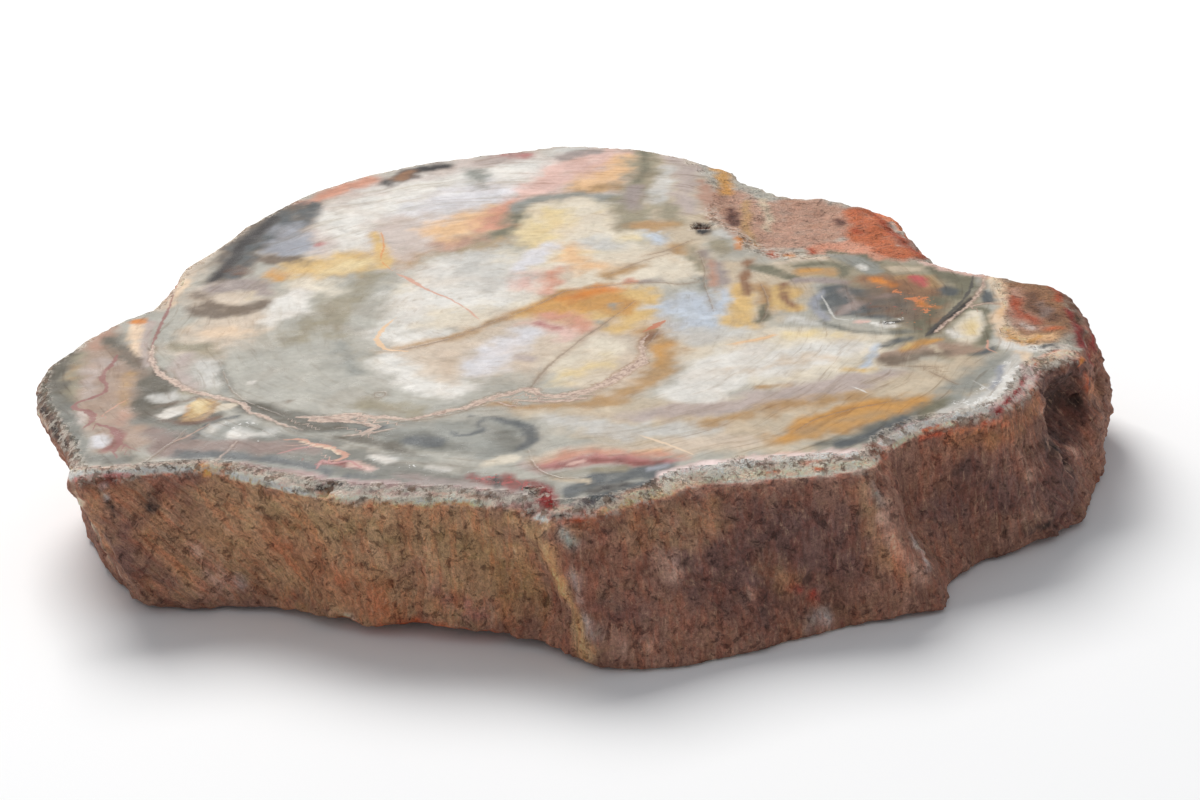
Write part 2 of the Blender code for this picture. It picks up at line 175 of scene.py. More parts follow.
class StoneTints(PropertyGroup):
    """Colours of the stone that the zones, seams and flecks refer to by name."""

    chalk: tint("Chalk", 228, 224, 217)
    lilac_white: tint("Lilac white", 222, 219, 222)
    cream: tint("Cream", 226, 215, 196)
    butter: tint("Butter", 231, 210, 164)
    pale_blue: tint("Pale blue", 200, 208, 219)
    fog: tint("Fog", 181, 178, 168)
    rose_grey: tint("Rose grey", 208, 194, 186)
    pale_grey: tint("Pale grey", 206, 203, 197)
    ash: tint("Ash", 154, 154, 147)
    olive_grey: tint("Olive grey", 160, 151, 130)
    moss: tint("Moss", 126, 122, 104)
    slate: tint("Slate", 102, 105, 106)
    blue_grey: tint("Blue grey", 162, 164, 172)
    charcoal: tint("Charcoal", 72, 67, 62)
    smoke: tint("Smoke", 128, 127, 119)
    dark_olive: tint("Dark olive", 104, 98, 86)
    dusk_mauve: tint("Dusk mauve", 150, 130, 122)
    wine: tint("Wine", 144, 90, 84)
    mauve_grey: tint("Mauve grey", 165, 152, 147)
    heather: tint("Heather", 190, 175, 168)
    fawn: tint("Fawn", 172, 148, 131)
    sand: tint("Sand", 206, 190, 167)
    beige: tint("Beige", 213, 196, 177)
    tan: tint("Tan", 186, 152, 112)
    honey: tint("Honey", 220, 186, 128)
    ochre: tint("Ochre", 207, 157, 95)
    amber: tint("Amber", 214, 138, 72)
    apricot: tint("Apricot", 232, 192, 150)
    peach: tint("Peach", 234, 207, 178)
    pink: tint("Pink", 227, 191, 180)
    rose: tint("Rose", 186, 128, 124)
    salmon: tint("Salmon", 211, 155, 132)
    crimson: tint("Crimson", 200, 102, 102)
    blood: tint("Blood red", 142, 38, 32)
    umber: tint("Umber", 128, 113, 99)
    brown: tint("Brown", 152, 116, 90)
    rust: tint("Rust", 172, 88, 50)
    brick: tint("Brick", 194, 114, 80)
    clay: tint("Clay", 188, 151, 133)
    cocoa: tint("Cocoa", 122, 92, 76)
    plum: tint("Plum", 106, 77, 70)
    pitch: tint("Pitch", 48, 38, 35)
    bark_ochre: tint("Bark ochre", 163, 128, 97)
    rusty_bark: tint("Rusty bark", 154, 107, 78)
    bark_moss: tint("Bark moss", 146, 117, 85)
    bark_brown: tint("Bark brown", 131, 95, 80)


class StoneSizes(PropertyGroup):
    """Sizes of the stone surface that a user would change."""

    cell: FloatProperty(
        name="Cell",
        description="Size of the surface cells that the slice is remeshed to",
        default=0.00042,
        min=0.0002,
        max=0.002,
        unit="LENGTH",
        precision=5,
    )
    bark_relief: FloatProperty(
        name="Bark relief",
        description="Height of the rough relief on the bark, the break and the corner",
        default=0.0005,
        min=0.0,
        max=0.0015,
        unit="LENGTH",
        precision=5,
    )
    polish: FloatProperty(
        name="Polish roughness",
        description="Roughness of the polished face, from mirror to matt",
        default=0.22,
        min=0.02,
        max=1.0,
        subtype="FACTOR",
    )


# Colours that the materials mix in: seams, cracks, the crumbs and gaps of the chipped lip on the
# face and on the rough stone, fibres and clouds
SEAM_DARK = (*srgb(144, 114, 100), 1.0)
SEAM_LIGHT = (*srgb(206, 180, 162), 1.0)
SEAM_HALO = (*srgb(196, 156, 118), 1.0)
CRACK_COLOUR = (*srgb(116, 92, 68), 1.0)
FACE_CRUMBS = (*srgb(224, 210, 196), 1.0)
FACE_GAPS = (*srgb(96, 72, 60), 1.0)
ROUGH_CRUMBS = (*srgb(238, 226, 210), 1.0)
ROUGH_GAPS = (*srgb(122, 92, 70), 1.0)
PALE_FIBRES = (*srgb(176, 142, 118), 1.0)
WARM_CLOUDS = (*srgb(214, 168, 118), 1.0)

# Zones of the polished face, the break and the corner, painted from first to last.
# Each has a name, a tint, the softness of its edge, and the circles of a chain: x, y, radius.
FACE_ZONES = (
    # broad grounds
    ("rose ground, back", "rose_grey", 6, (-27, 22, 7), (-16, 33, 9), (-2, 39, 8), (8, 36, 7)),
    ("brown ground, right corner", "brown", 2, (47, -2, 3), (48, -9, 3.5), (47, -15, 3)),
    ("warm ground, centre", "cream", 5, (-13, 5, 6), (-2, 6, 8), (9, 8, 6)),
    ("warm ground, lower centre", "beige", 5, (-13, -13, 5), (-4, -11, 7), (5, -11, 7), (4, -22, 3)),
    ("warm ground, left", "beige", 4, (-37, 7, 3), (-33, -1, 4), (-37, -8, 2.5)),
    ("pale ground, right", "cream", 4, (14, -14, 5), (22, -18, 7), (30, -18, 4)),
    ("sand ground, front right", "sand", 4, (3, -30, 4), (14, -33, 6), (26, -32, 6), (34, -27, 5)),
    ("sand ground, right", "sand", 3, (18, 6, 2), (20, -4, 4), (24, 4, 4), (38, 2, 2)),
    ("olive ground, right", "olive_grey", 3, (27, 6, 3), (33, 2, 5), (38, -6, 4), (34, -14, 3),
     (38, -18, 3)),
    ("umber ground, slate mass", "umber", 2, (30, -3, 2.5), (35, -4, 3.5), (35, -10, 1.6)),
    ("warm ground beside break", "sand", 3, (12, 9, 3), (13, 20, 3), (12, 31, 3.5), (11, 41, 3.5)),
    ("butter ground, back", "butter", 4, (-1, 25, 4), (2, 18, 5.5), (5, 23, 3)),
    ("umber ground, back left", "umber", 2.2, (-36.6, 12, 1.6), (-34.6, 20, 2.8), (-31.6, 28, 2.8),
     (-29, 32.5, 1.4)),
    ("olive ground, ring", "olive_grey", 3, (-20, 12, 0.8), (-22.8, 3, 1.2), (-23.2, -6, 1),
     (-22, -13, 0.8)),
    # back of the slice
    ("white field, back", "chalk", 4.5, (-22, 28, 5), (-16, 32, 6), (-8, 36, 6), (-3, 40, 4)),
    ("lilac field, back", "lilac_white", 4.5, (-14, 28, 4), (-9, 33, 4)),
    ("rose-grey field", "rose_grey", 4.8, (-18, 24, 3), (-16, 17, 4), (-15, 12, 3)),
    ("olive arm", "tan", 4.5, (-16, 12, 1.4), (-11, 15.6, 1.8), (-6.5, 20, 1.4)),
    ("olive heart, arm", "olive_grey", 2.7, (-15.4, 12.2, 0.6), (-11, 15.6, 0.9), (-7.4, 19, 0.7)),
    ("brown shade in olive arm", "clay", 3, (-12, 18, 1.6), (-9.5, 19, 1.2)),
    ("apricot sweep", "apricot", 3.3, (-12.6, 22, 2.8), (-9.5, 24.8, 2.4), (-7, 28, 1.4)),
    ("pink sweep", "pink", 3.6, (-4, 31, 1.8), (-1, 35, 3), (2, 40, 3.2), (6, 43.5, 2.4)),
    ("peach side, pink sweep", "apricot", 2.4, (3, 33.5, 2), (5.5, 37, 2), (8, 42, 1.2)),
    ("salmon edge, sweep", "salmon", 2.4, (-8.2, 22.5, 1.5), (-7.6, 26, 1.2), (-5.5, 29.5, 1)),
    ("tan under pink sweep", "tan", 2.4, (2.5, 32.2, 0.8), (6, 33, 1.2)),
    ("cream heart, back", "cream", 3.8, (0, 25, 4.5), (2, 19, 5), (4.5, 22, 3.5)),
    ("peach streak in cream", "butter", 2.7, (-3, 22, 1.6), (-3.5, 16, 1.4), (-1, 25, 1.4)),
    ("grey arc left, cream", "moss", 2, (-8, 19, 0.6), (-6, 22, 0.9), (-5, 27, 0.9)),
    ("grey arc over cream", "ash", 1.8, (-5, 27, 1), (-3, 30, 1.1), (2, 30.6, 1.1), (6, 28, 1.1)),
    ("grey arc right, cream", "olive_grey", 1.7, (6, 28, 1.1), (7, 24, 1), (7, 19, 0.8)),
    ("grey cloud in cream", "pale_grey", 2.1, (3.5, 16, 1.8), (6, 14, 1.2)),
    ("olive stripe", "olive_grey", 3, (8, 22, 1.5), (9, 30, 2.2), (9.5, 38, 1.8), (10, 44, 1.2)),
    ("dark stripe", "mauve_grey", 1.5, (8, 25.5, 0.7), (8, 29, 1.2), (8.3, 32, 0.9)),
    ("pale stripe", "pale_grey", 1.5, (10.8, 27, 0.7), (11, 32, 0.9), (12.5, 38, 1)),
    ("heather stripe", "heather", 1.8, (14, 24, 0.9), (13.5, 31, 1.2), (14.5, 38, 1.2), (12.5, 42.5, 1)),
    ("second olive stripe", "olive_grey", 1.4, (12.2, 20, 0.9), (11.6, 26, 0.9)),
    ("third olive stripe", "moss", 0.9, (9.8, 44, 0.3), (9.4, 38, 0.4), (8.6, 34, 0.3)),
    ("pinkish stripe", "clay", 1.2, (16.4, 22, 0.8), (16.2, 28, 0.9), (15.8, 33, 0.6)),
    ("blue-white eye", "pale_blue", 1.5, (9.2, 18, 0.8), (9.8, 15, 1)),
    ("tan bay", "tan", 2.4, (12.5, 12.5, 1.4), (13, 9, 1)),
    ("cream bay", "cream", 3.3, (9.5, 9.5, 2), (11.5, 6, 2), (12.5, 9, 1.2)),
    ("tan link", "tan", 1.8, (8, 20, 1), (11.5, 19.5, 1)),
    ("salmon rim at back left", "salmon", 2.1, (-29, 33, 0.9), (-26, 36.5, 1.3), (-22.5, 39, 1.2)),
    ("dark rim, back", "charcoal", 1.8, (-20, 38, 0.8), (-17.5, 41.5, 1.3), (-14, 43.3, 1)),
    ("brown in dark rim", "brown", 1.5, (-19, 39.5, 0.7), (-17.8, 41.4, 0.5)),
    ("grey wedge", "ash", 1.8, (-10, 41, 1), (-9.6, 38, 1.1), (-9.4, 35.5, 0.4)),
    ("beige rim, back", "heather", 2.1, (-9, 44, 1.6), (-5.5, 44.5, 1.6)),
    ("rose in beige rim", "rose", 1.8, (-6.5, 45.8, 0.7), (-4.2, 44.8, 0.7)),
    ("pale rim, back", "pale_grey", 1.8, (-1, 46, 1.2), (1.5, 46, 1.4)),
    ("mauve rim, back", "mauve_grey", 1.8, (1.5, 44, 1.2), (4, 44.8, 0.8)),
    # back left
    ("slate band", "slate", 2.9, (-36.4, 13, 0.8), (-34.2, 20, 1.2), (-31.6, 27.6, 1.4), (-28.6, 31.6, 1)),
    ("slate band, inner side", "slate", 1.8, (-29.5, 26, 1.2), (-27.7, 30, 1), (-28.5, 33, 0.6)),
    ("blue-grey core", "blue_grey", 2.6, (-30.6, 25, 1.6), (-30.2, 20, 2.4), (-29.4, 17.6, 2)),
    ("dark outer edge", "charcoal", 1, (-37.6, 11, 0.5), (-36.2, 16, 0.6), (-34.4, 23, 0.6),
     (-32, 29, 0.5)),
    ("red-brown shade", "cocoa", 1.8, (-35.4, 13.6, 1)),
    ("dark foot, core", "umber", 1.3, (-31.5, 15.8, 1.2), (-28.2, 14.3, 1.5)),
    ("grey lobe", "mauve_grey", 1.8, (-37, 8.5, 1.4), (-33.5, 9.5, 1.6), (-32, 7, 1.4)),
    ("umber patch", "umber", 1.3, (-38.5, 3, 1.2), (-36, 1.8, 1.8), (-33.2, 1.6, 1), (-31.2, 3.4, 0.9)),
    ("umber stem", "umber", 1.3, (-38.3, 7.5, 0.5), (-37.5, 4.5, 0.8)),
    ("beige streak", "sand", 0.8, (-32.7, 6.9, 0.4), (-33, 5, 0.5)),
    ("beige rim on left", "beige", 1.6, (-41.2, 10, 1.1), (-40, 16, 1.3), (-38, 21.6, 1.2),
     (-36.2, 26, 0.9)),
    ("pale rim on left", "peach", 1, (-41.6, 4, 0.6), (-40.2, 11, 0.6)),
    ("pink fleck", "rose", 1, (-26.7, 19.8, 0.5)),
    ("cream field back left", "chalk", 2.6, (-25, 28, 1.8), (-23.5, 22, 2), (-22.5, 18, 1.6)),
    ("honey field", "honey", 3.1, (-29.5, 11.5, 1.2), (-26, 12.4, 2.4), (-22.4, 14, 3)),
    ("bright honey", "butter", 2.1, (-24.5, 12, 1.6), (-22.3, 13.4, 1.4)),
    ("tan corner, honey", "ochre", 1.3, (-31.3, 12.2, 0.7), (-30.4, 10.4, 0.6)),
    ("honey edge", "honey", 1, (-20.6, 22, 0.4), (-19.6, 17, 0.6), (-19.6, 12, 0.6)),
    ("cream left", "cream", 2.6, (-27.5, 8.5, 1.8), (-25, 5, 1.4)),
    ("warm strip", "beige", 2.1, (-38, -2.5, 1.2), (-34, -4, 1.8), (-31, -6, 1.2)),
    ("peach in warm strip", "peach", 1.6, (-35.8, -3.6, 1.2), (-32.5, -5.6, 0.9)),
    ("brown shade left", "olive_grey", 1.8, (-38.6, -7, 1), (-35.6, -8.5, 1.2)),
    ("olive field", "fog", 3.9, (-26, 2, 3), (-27, -8, 5), (-25, -16, 6), (-20, -21, 4)),
    ("olive tinge", "olive_grey", 3.1, (-24, 3, 1), (-25, -3, 1.4), (-28, -7, 1)),
    ("white lens left", "chalk", 1.3, (-27.6, 5.5, 1.3), (-28.8, 2, 2), (-30.5, -1.6, 1.1)),
    ("inner ring shade", "olive_grey", 1.6, (-19.8, 10, 0.8), (-21.2, 5, 0.7), (-22.8, 0, 0.6),
     (-23.2, -6, 0.6)),
    ("ring shade beside centre", "fog", 2.6, (-18.6, 8, 1.2), (-20, 2, 1.2), (-20.5, -3, 0.9)),
    ("green shade", "ash", 1.6, (-22.8, -8, 0.6), (-22.4, -12, 0.7), (-21, -16, 0.7)),
    ("white cloud by seam", "pale_grey", 1.8, (-36.5, -12, 1.2), (-35.4, -14.5, 1.2), (-35, -17, 0.7)),
    ("mauve by seam", "heather", 1.6, (-38, -9.5, 0.8), (-39, -13, 0.6), (-36.5, -17.5, 0.6)),
    ("ring shade left", "ash", 1, (-34.4, -12, 0.3), (-33.5, -16, 0.4), (-32.5, -19.6, 0.4)),
    # centre
    ("white centre", "chalk", 5, (-12, 9, 4.5), (-9, 3, 4.5), (-15, 2, 3.5)),
    ("heather tinge, centre", "pale_grey", 3.1, (-9, 12, 2.5), (-6, 7, 2.5)),
    ("white lens, centre", "chalk", 2.8, (-16, -2.4, 2), (-16.8, -7, 2.2), (-14.4, -7.6, 2)),
    ("pinkish centre", "cream", 3, (-12, -3.5, 2.6), (-9, -5.5, 1.6)),
    ("tan halo, ring crack", "tan", 1.4, (-19, -11.5, 0.3), (-14, -10, 0.5), (-10, -7.3, 0.6),
     (-6, -4.3, 0.7)),
    ("tan halo, second half", "tan", 1.5, (-6, -4.3, 0.7), (-3, -1.3, 0.8), (0, 2, 0.8), (4, 3.2, 0.6)),
    ("cream under ring crack", "beige", 2, (-16, -12, 1), (-12, -11, 1.4), (-8, -8.3, 1.2)),
    ("honey ground, heart", "honey", 2.8, (-3.4, -3, 1.4), (2, -2.6, 4), (7, -3.6, 2.8)),
    ("orange heart", "ochre", 2.2, (-3, -2.6, 1.2), (0, -1, 2.4), (4, -0.5, 2.6), (6.5, -4, 1.4)),
    ("honey around heart", "honey", 2, (7, 1, 1.6), (9, -3, 1), (5, -9, 1.2)),
    ("amber in heart", "amber", 1.8, (0.5, 0.8, 0.8), (3.4, 2.2, 0.8), (5.4, 2.4, 0.4)),
    ("salmon in heart", "salmon", 1.8, (-1.3, -4, 1.2), (1.2, -4.8, 1), (1.6, -8, 0.9)),
    ("grey eye, heart", "ash", 1.1, (4.6, -2, 0.4), (5, -2.8, 0.3)),
    ("second grey eye", "ash", 1, (3.4, -6.6, 0.3), (4.2, -7.6, 0.2)),
    ("pink haze under heart", "pink", 2.8, (-2.6, -6, 1), (-0.4, -8.4, 1.3), (0.8, -10, 0.8)),
    ("rose in that haze", "rose", 1.8, (-2.3, -6.2, 0.3), (-0.6, -8, 0.3)),
    ("pink cloud over heart", "pink", 3.2, (-4, 5.4, 1.2), (-2.4, 8, 1), (-2, 3.5, 1)),
    ("salmon over heart", "salmon", 2.5, (-0.7, 8, 0.5), (-1.2, 3.4, 0.5)),
    ("peach flow", "apricot", 3.2, (0.6, 15, 0.6), (1.4, 11.5, 1.1), (3, 8.4, 1.5)),
    ("cream beside flow", "cream", 2.2, (5, 11, 1.8), (7, 12.5, 1.2)),
    ("tan over heart", "tan", 1.8, (4.2, 5.6, 0.8), (6.8, 7.6, 0.8)),
    ("mauve smudge", "mauve_grey", 1.1, (8.2, 3.6, 0.5), (9.8, 3.6, 0.5)),
    ("rose smudge", "salmon", 1.1, (6.3, 3.9, 0.5), (7.2, 3.7, 0.3)),
    ("white cloud", "lilac_white", 1.5, (-1.6, 15.5, 1.2), (-3, 12.5, 1.3), (-4.2, 10, 0.9)),
    ("lilac white drift", "lilac_white", 2.5, (-4, -9, 1.6), (-7, -13, 2.4), (-9, -17, 2)),
    ("white drift on left", "chalk", 2.5, (-17.5, -13.5, 1.6), (-15, -18.5, 2), (-11, -21, 1.8)),
    ("warm drift between", "beige", 2.5, (-12.5, -14, 1.6), (-12, -18, 1)),
    ("mauve spot", "heather", 1, (-4.6, -14.4, 0.6), (-3.4, -15, 0.5)),
    ("cream field right, crack", "cream", 2.5, (0.5, -17.5, 2.4), (3.5, -13.5, 2.4), (2, -20.5, 1.4)),
    ("butter in that field", "butter", 2.8, (-0.5, -20, 0.6), (3.5, -17, 0.8)),
    ("grey-green field above seam", "olive_grey", 2.2, (-19, -24, 1.2), (-15, -25.5, 1)),
    ("tan band right, seam", "tan", 1.8, (8, -9.5, 0.9), (10.2, -12, 1.4), (10.4, -16, 1.2),
     (8.8, -20, 1.3)),
    ("tan band, lower end", "tan", 2, (8.8, -20, 1.3), (6, -24, 1.4), (2.5, -25.8, 1.2)),
    ("brown in tan band", "brown", 1.2, (8.8, -10, 0.7), (7.8, -12.4, 0.4)),
    ("ochre in tan band", "ochre", 1.5, (9.6, -13.5, 0.6), (9.4, -17.5, 0.4)),
    ("blue pool", "pale_blue", 3.2, (10, -3.6, 1), (12.6, -2.4, 2), (14, -6, 2.4), (13, -9, 2)),
    ("blue pool, right arm", "pale_blue", 1.2, (16.4, 0, 0.5), (16.4, -4, 0.9)),
    ("pale top, lobe", "pale_grey", 2.5, (13, -11.5, 2), (17, -10.4, 1.2)),
    ("mauve cells below hole", "mauve_grey", 1.2, (15, 11, 0.5), (15.8, 6, 1), (16, 2.4, 1.1),
     (15.4, 0.4, 0.5)),
    ("blue-grey beside cells", "ash", 0.8, (14.2, 3.6, 0.3), (14.4, 0.8, 0.4)),
    ("pink core, cells", "clay", 0.8, (15.4, 9, 0.3), (15.3, 2, 0.4)),
    ("olive left, cells", "olive_grey", 1.1, (13.8, 13, 0.4), (13.9, 6, 0.5)),
    # break
    ("clay, break", "clay", 2, (18.5, 28, 2.2), (21, 20, 3.6), (24, 15, 4), (29, 18, 4), (25, 23, 4)),
    ("brick, break", "brick", 1.8, (33.5, 21, 2.2), (33, 15, 2.6), (33.5, 10, 2.4), (36.5, 7.5, 1.2)),
    ("clay under brick", "salmon", 1.4, (27, 11, 1.2), (31, 10, 1.2), (33, 7.5, 0.6)),
    ("rust edge, break", "rust", 0.9, (34.6, 20, 0.4), (35.6, 15, 0.6), (36.8, 10.5, 0.7), (38, 6.8, 0.6)),
    ("dark rust spot", "rust", 0.7, (22, 10.2, 0.5), (22, 9, 0.6)),
    ("amber spot, break", "amber", 0.8, (24, 9.2, 0.7)),
    ("second rust spot", "rust", 0.6, (26.2, 10.8, 0.3), (26.4, 9.4, 0.3)),
    ("third rust spot", "rust", 0.8, (32, 14.6, 0.5), (31.6, 15.8, 0.3)),
    ("dark spot, break", "plum", 1, (30, 17.8, 0.6), (29.8, 19.4, 0.3)),
    ("cream stripe, break", "sand", 0.7, (22.3, 27, 0.5), (22.5, 22, 0.4), (22.2, 17, 0.3)),
    ("tan stripe, break", "tan", 0.8, (20.3, 26, 0.4), (20, 19, 0.5), (20.4, 12, 0.4)),
    ("dark stripe, break", "plum", 0.8, (18.4, 24, 0.4), (18.6, 19.6, 0.7)),
    ("ochre lump at rim", "ochre", 0.9, (18.2, 37.5, 0.9), (18.8, 33.5, 0.8), (18.4, 29, 0.6)),
    ("amber line", "amber", 0.6, (19, 15, 0.4), (18.6, 11.6, 0.4)),
    ("white patch by hole", "pale_grey", 0.7, (16.8, 17, 0.7), (17.8, 15.4, 0.5)),
    ("olive patch by hole", "olive_grey", 0.9, (16.8, 13.6, 0.9), (17, 10.5, 0.7)),
    # Painted shade: the hole is painted black on the flat face, with umber shade round it, for the shade
    # that falls in it.
    ("shade round hole", "umber", 1, (14.8, 19.6, 0.9), (15.2, 17, 0.8)),
    ("hole", "pitch", 0.5, (14.9, 19, 0.8), (15.1, 17.5, 0.8)),
    ("cream lip, break", "beige", 0.6, (22.6, 7, 0.3), (25, 8, 0.4), (27.4, 7.8, 0.5)),
    # right of the face
    ("ochre right, pool", "honey", 1.2, (18, 1, 0.6), (18, -4, 1.3), (17, -8, 1.5), (18.6, -9.6, 0.6)),
    ("honey further right", "honey", 1.2, (22.5, -0.5, 1.2), (21.8, -4, 1.3), (23.6, -5.6, 0.8)),
    ("tan between", "tan", 1, (20, 0.5, 0.9), (20.4, -3, 0.6)),
    ("brown stripe beside pool", "brown", 0.9, (19.4, 8, 0.4), (19, 3, 0.5), (18.6, -1, 0.3)),
    ("second brown stripe", "brown", 0.9, (22.4, 1, 0.3), (22.2, -3, 0.4), (23.6, -6.4, 0.2)),
    ("olive shade between", "moss", 0.8, (20.2, -4.2, 0.3), (20, -7.6, 0.5), (19.2, -8.4, 0.4)),
    ("olive lobe", "moss", 0.8, (20.4, 6.2, 0.9), (22, 4.6, 1), (23.6, 2.6, 0.9)),
    ("ochre oval", "tan", 0.8, (25, 4.2, 1.3), (27.5, 3.8, 1.2)),
    ("honey in oval", "ochre", 0.7, (25.2, 4.6, 0.5), (27, 4.8, 0.4)),
    ("outline, oval", "moss", 0.6, (24.4, 6, 0.4), (27, 6.4, 0.5), (29, 5, 0.5), (28.9, 2.4, 0.4)),
    ("grey-green lobe", "ash", 0.7, (28.5, 9, 0.8), (30, 7.4, 1.1), (31.4, 5, 1.3), (32, 3, 0.8)),
    ("green rim, lobe", "moss", 0.5, (28.2, 9.6, 0.3), (31.4, 8, 0.3), (33, 5.6, 0.3)),
    ("white eye, lobe", "chalk", 0.5, (30.9, 4.9, 0.5), (31.3, 3.9, 0.35)),
    ("mauve band under oval", "mauve_grey", 0.9, (24, 1.6, 0.7), (26.6, 1.4, 0.8), (29, 0.4, 0.7)),
    ("sand above crimson eye", "sand", 1, (34.4, 3.4, 0.8), (37, 3.4, 0.7)),
    ("olive end, face", "moss", 1, (38.4, 3.4, 0.6), (40, 1, 1.4), (41, -1.4, 1), (40, -4.4, 0.9)),
    ("grey in olive end", "slate", 0.8, (38.5, -2.2, 0.7), (39.5, -3.4, 0.7)),
    ("sand round crimson eye", "tan", 1.2, (34, 1, 0.8), (36.4, -0.4, 2)),
    ("crimson eye", "crimson", 0.7, (36.2, 0.5, 1), (36.2, -0.8, 1.1)),
    ("pink rim", "pink", 0.6, (37.6, 5.2, 0.5), (39.6, 3, 0.5), (41.6, 1.2, 0.5), (43.4, 0, 0.4)),
    ("brown halo, slate mass", "brown", 2.2, (30, 1, 0.6), (33.4, 0, 1.2), (37, -5, 1.6), (37, -10, 1)),
    ("olive veil of that halo", "moss", 2, (38, -5.4, 1.2), (36.6, -9, 0.9), (35, -12.4, 0.6)),
    ("slate mass", "slate", 1.6, (28, -2, 1.8), (29, -5, 3.2), (31, -6.6, 2.6)),
    ("mauve in slate mass", "dusk_mauve", 1.2, (27.6, -7, 0.5), (30.6, -4, 0.4), (33, -3, 0.4)),
    ("brown in slate mass", "cocoa", 1, (30.6, -5.8, 0.4), (32.4, -6.4, 0.5), (33, -8.4, 0.5)),
    ("amber left, eye", "amber", 0.9, (32, 0.8, 0.5), (33.4, -0.8, 0.3)),
    ("amber right, mass", "amber", 0.8, (35.6, -5.4, 0.3), (36.4, -6.6, 0.4), (37.6, -7.4, 0.2)),
    ("blue rim, slate mass", "blue_grey", 0.6, (26.4, -1.4, 0.3), (25.2, -5, 0.4), (26.2, -9, 0.4)),
    ("foot, slate mass", "smoke", 0.9, (25.4, -9.2, 0.3), (27.4, -11.8, 0.5), (31, -13.1, 0.5),
     (34, -12.8, 0.4)),
    ("umber veil, mass", "umber", 2, (29.4, -2.4, 0.3), (31.4, -4.4, 0.6), (33.4, -7.4, 0.6),
     (30, -7.4, 0.3)),
    ("mauve veil, mass", "mauve_grey", 1.4, (28.6, -1.6, 0.2), (29.4, -5, 0.3), (28, -7.4, 0.2)),
    ("white grains, mass", "chalk", 0.5, (30.7, -10.5, 0.3), (31.4, -11, 0.5), (32.5, -11.3, 0.5)),
    ("pink grains, mass", "pink", 0.5, (29, -9.8, 0.3), (30, -10, 0.25)),
    ("dark grains, mass", "charcoal", 0.5, (31.9, -10.4, 0.25), (33.2, -10.4, 0.3)),
    ("pale tail, slate mass", "pale_grey", 1, (22.6, -8.4, 0.8), (25, -10, 0.5)),
    ("dark stripe to right", "charcoal", 0.5, (41, -5.4, 0.2), (39.6, -8.5, 0.35), (37.4, -11.7, 0.45),
     (35.8, -14, 0.4)),
    ("slate triangle", "slate", 0.5, (42.8, -3.4, 0.2), (42.9, -6.2, 0.7)),
    ("outline, pocket", "moss", 0.5, (40.4, -8.4, 0.4), (42, -8.6, 0.5), (42, -12, 0.4), (40.6, -17, 0.5)),
    ("cream pocket", "cream", 0.9, (41, -9.4, 0.7), (40.4, -12, 1.3), (39.4, -14.6, 1.2),
     (38.8, -16.6, 0.6)),
    ("butter in pocket", "butter", 1.2, (40.6, -11, 0.5), (39.8, -14, 0.6)),
    ("white tip, pocket", "chalk", 0.6, (38.1, -13.2, 0.35), (38.3, -15, 0.4)),
    ("crust beside pocket", "peach", 1, (43.8, -0.6, 0.7), (44.4, -4, 0.7), (44.1, -8, 0.7),
     (43.2, -12, 0.7), (43, -16, 0.6)),
    ("cream of that crust", "cream", 0.8, (43.7, -0.8, 0.3), (44, -3, 0.4)),
    ("apricot of that crust", "apricot", 0.9, (44.2, -7.4, 0.4), (43.6, -11, 0.4)),
    # corner
    ("clay, corner", "clay", 1.4, (46.6, -4, 1), (46, -8, 1), (46.4, -13, 2.2)),
    ("plum, corner", "brown", 1.6, (48.6, -4.6, 1.4), (48.2, -8.6, 2), (48.6, -13, 1.2)),
    ("dark cells, corner", "cocoa", 1.2, (47.6, -5, 0.6), (47.2, -8.6, 0.8), (48.6, -11, 0.8)),
    ("pale cells, corner", "rose_grey", 0.8, (45.2, -12.6, 0.2), (46, -13.8, 0.3)),
    ("rust of corner, upper", "rust", 0.8, (45.4, -5.4, 0.2), (45.2, -7.4, 0.3)),
    ("rust of corner, lower", "brick", 0.8, (47.4, -14.6, 0.3), (49, -14.4, 0.4)),
    ("rust clouds, corner", "rust", 1.6, (45.6, -6.4, 0.3), (45.4, -9.4, 0.4), (46.4, -12.4, 0.3)),
    ("heather cells, corner", "dusk_mauve", 0.9, (48, -7.8, 0.3), (48.6, -9.4, 0.4), (47.4, -11, 0.3)),
    ("apricot band, corner", "apricot", 1, (43.2, -14, 0.6), (44.6, -16.8, 0.9), (48, -16.4, 0.8)),
    ("ochre line of that band", "ochre", 0.6, (43.4, -14.4, 0.2), (44.4, -17.6, 0.3), (46.6, -16.2, 0.3)),
    ("brown edge, corner", "cocoa", 1.2, (50.4, -4, 0.6), (52, -8, 0.9), (51.6, -13, 0.9),
     (51, -17.4, 0.6)),
    ("white crust, corner", "chalk", 0.9, (42.4, -16.4, 0.5), (44, -18.6, 0.8), (48.6, -18.9, 0.7)),
    ("slate spot, corner", "slate", 0.5, (46.4, -18.6, 0.3), (47.4, -18.4, 0.35)),
    ("peach on that crust", "peach", 0.8, (43.9, -20, 0.8), (44.4, -22.4, 0.8), (48.6, -20.4, 0.5)),
    ("rust on that crust", "rust", 0.6, (44.8, -23, 0.2), (46, -21, 0.3), (47.6, -19.8, 0.2)),
    ("red edge, corner", "blood", 1, (50.6, -9, 0.2), (50.7, -14, 0.4), (50.8, -19.5, 0.3)),
    ("rust edge, corner", "rust", 0.8, (50, -2.6, 0.2), (50.2, -7, 0.3)),
    # front right
    ("heather band", "heather", 2, (6, -29.3, 1.2), (12, -28.6, 1.6), (19, -27, 2.2), (27, -25.2, 2.2),
     (31, -23.4, 1.4)),
    ("pale grey under band", "pale_grey", 2, (5, -32.5, 1.4), (12, -33, 1.8)),
    ("beige towards front", "beige", 1.6, (10, -36.4, 1.2), (16, -36.4, 1.6)),
    ("tan over streak", "tan", 2.2, (13, -31.6, 0.8), (20, -29.6, 1), (28, -28.2, 0.8)),
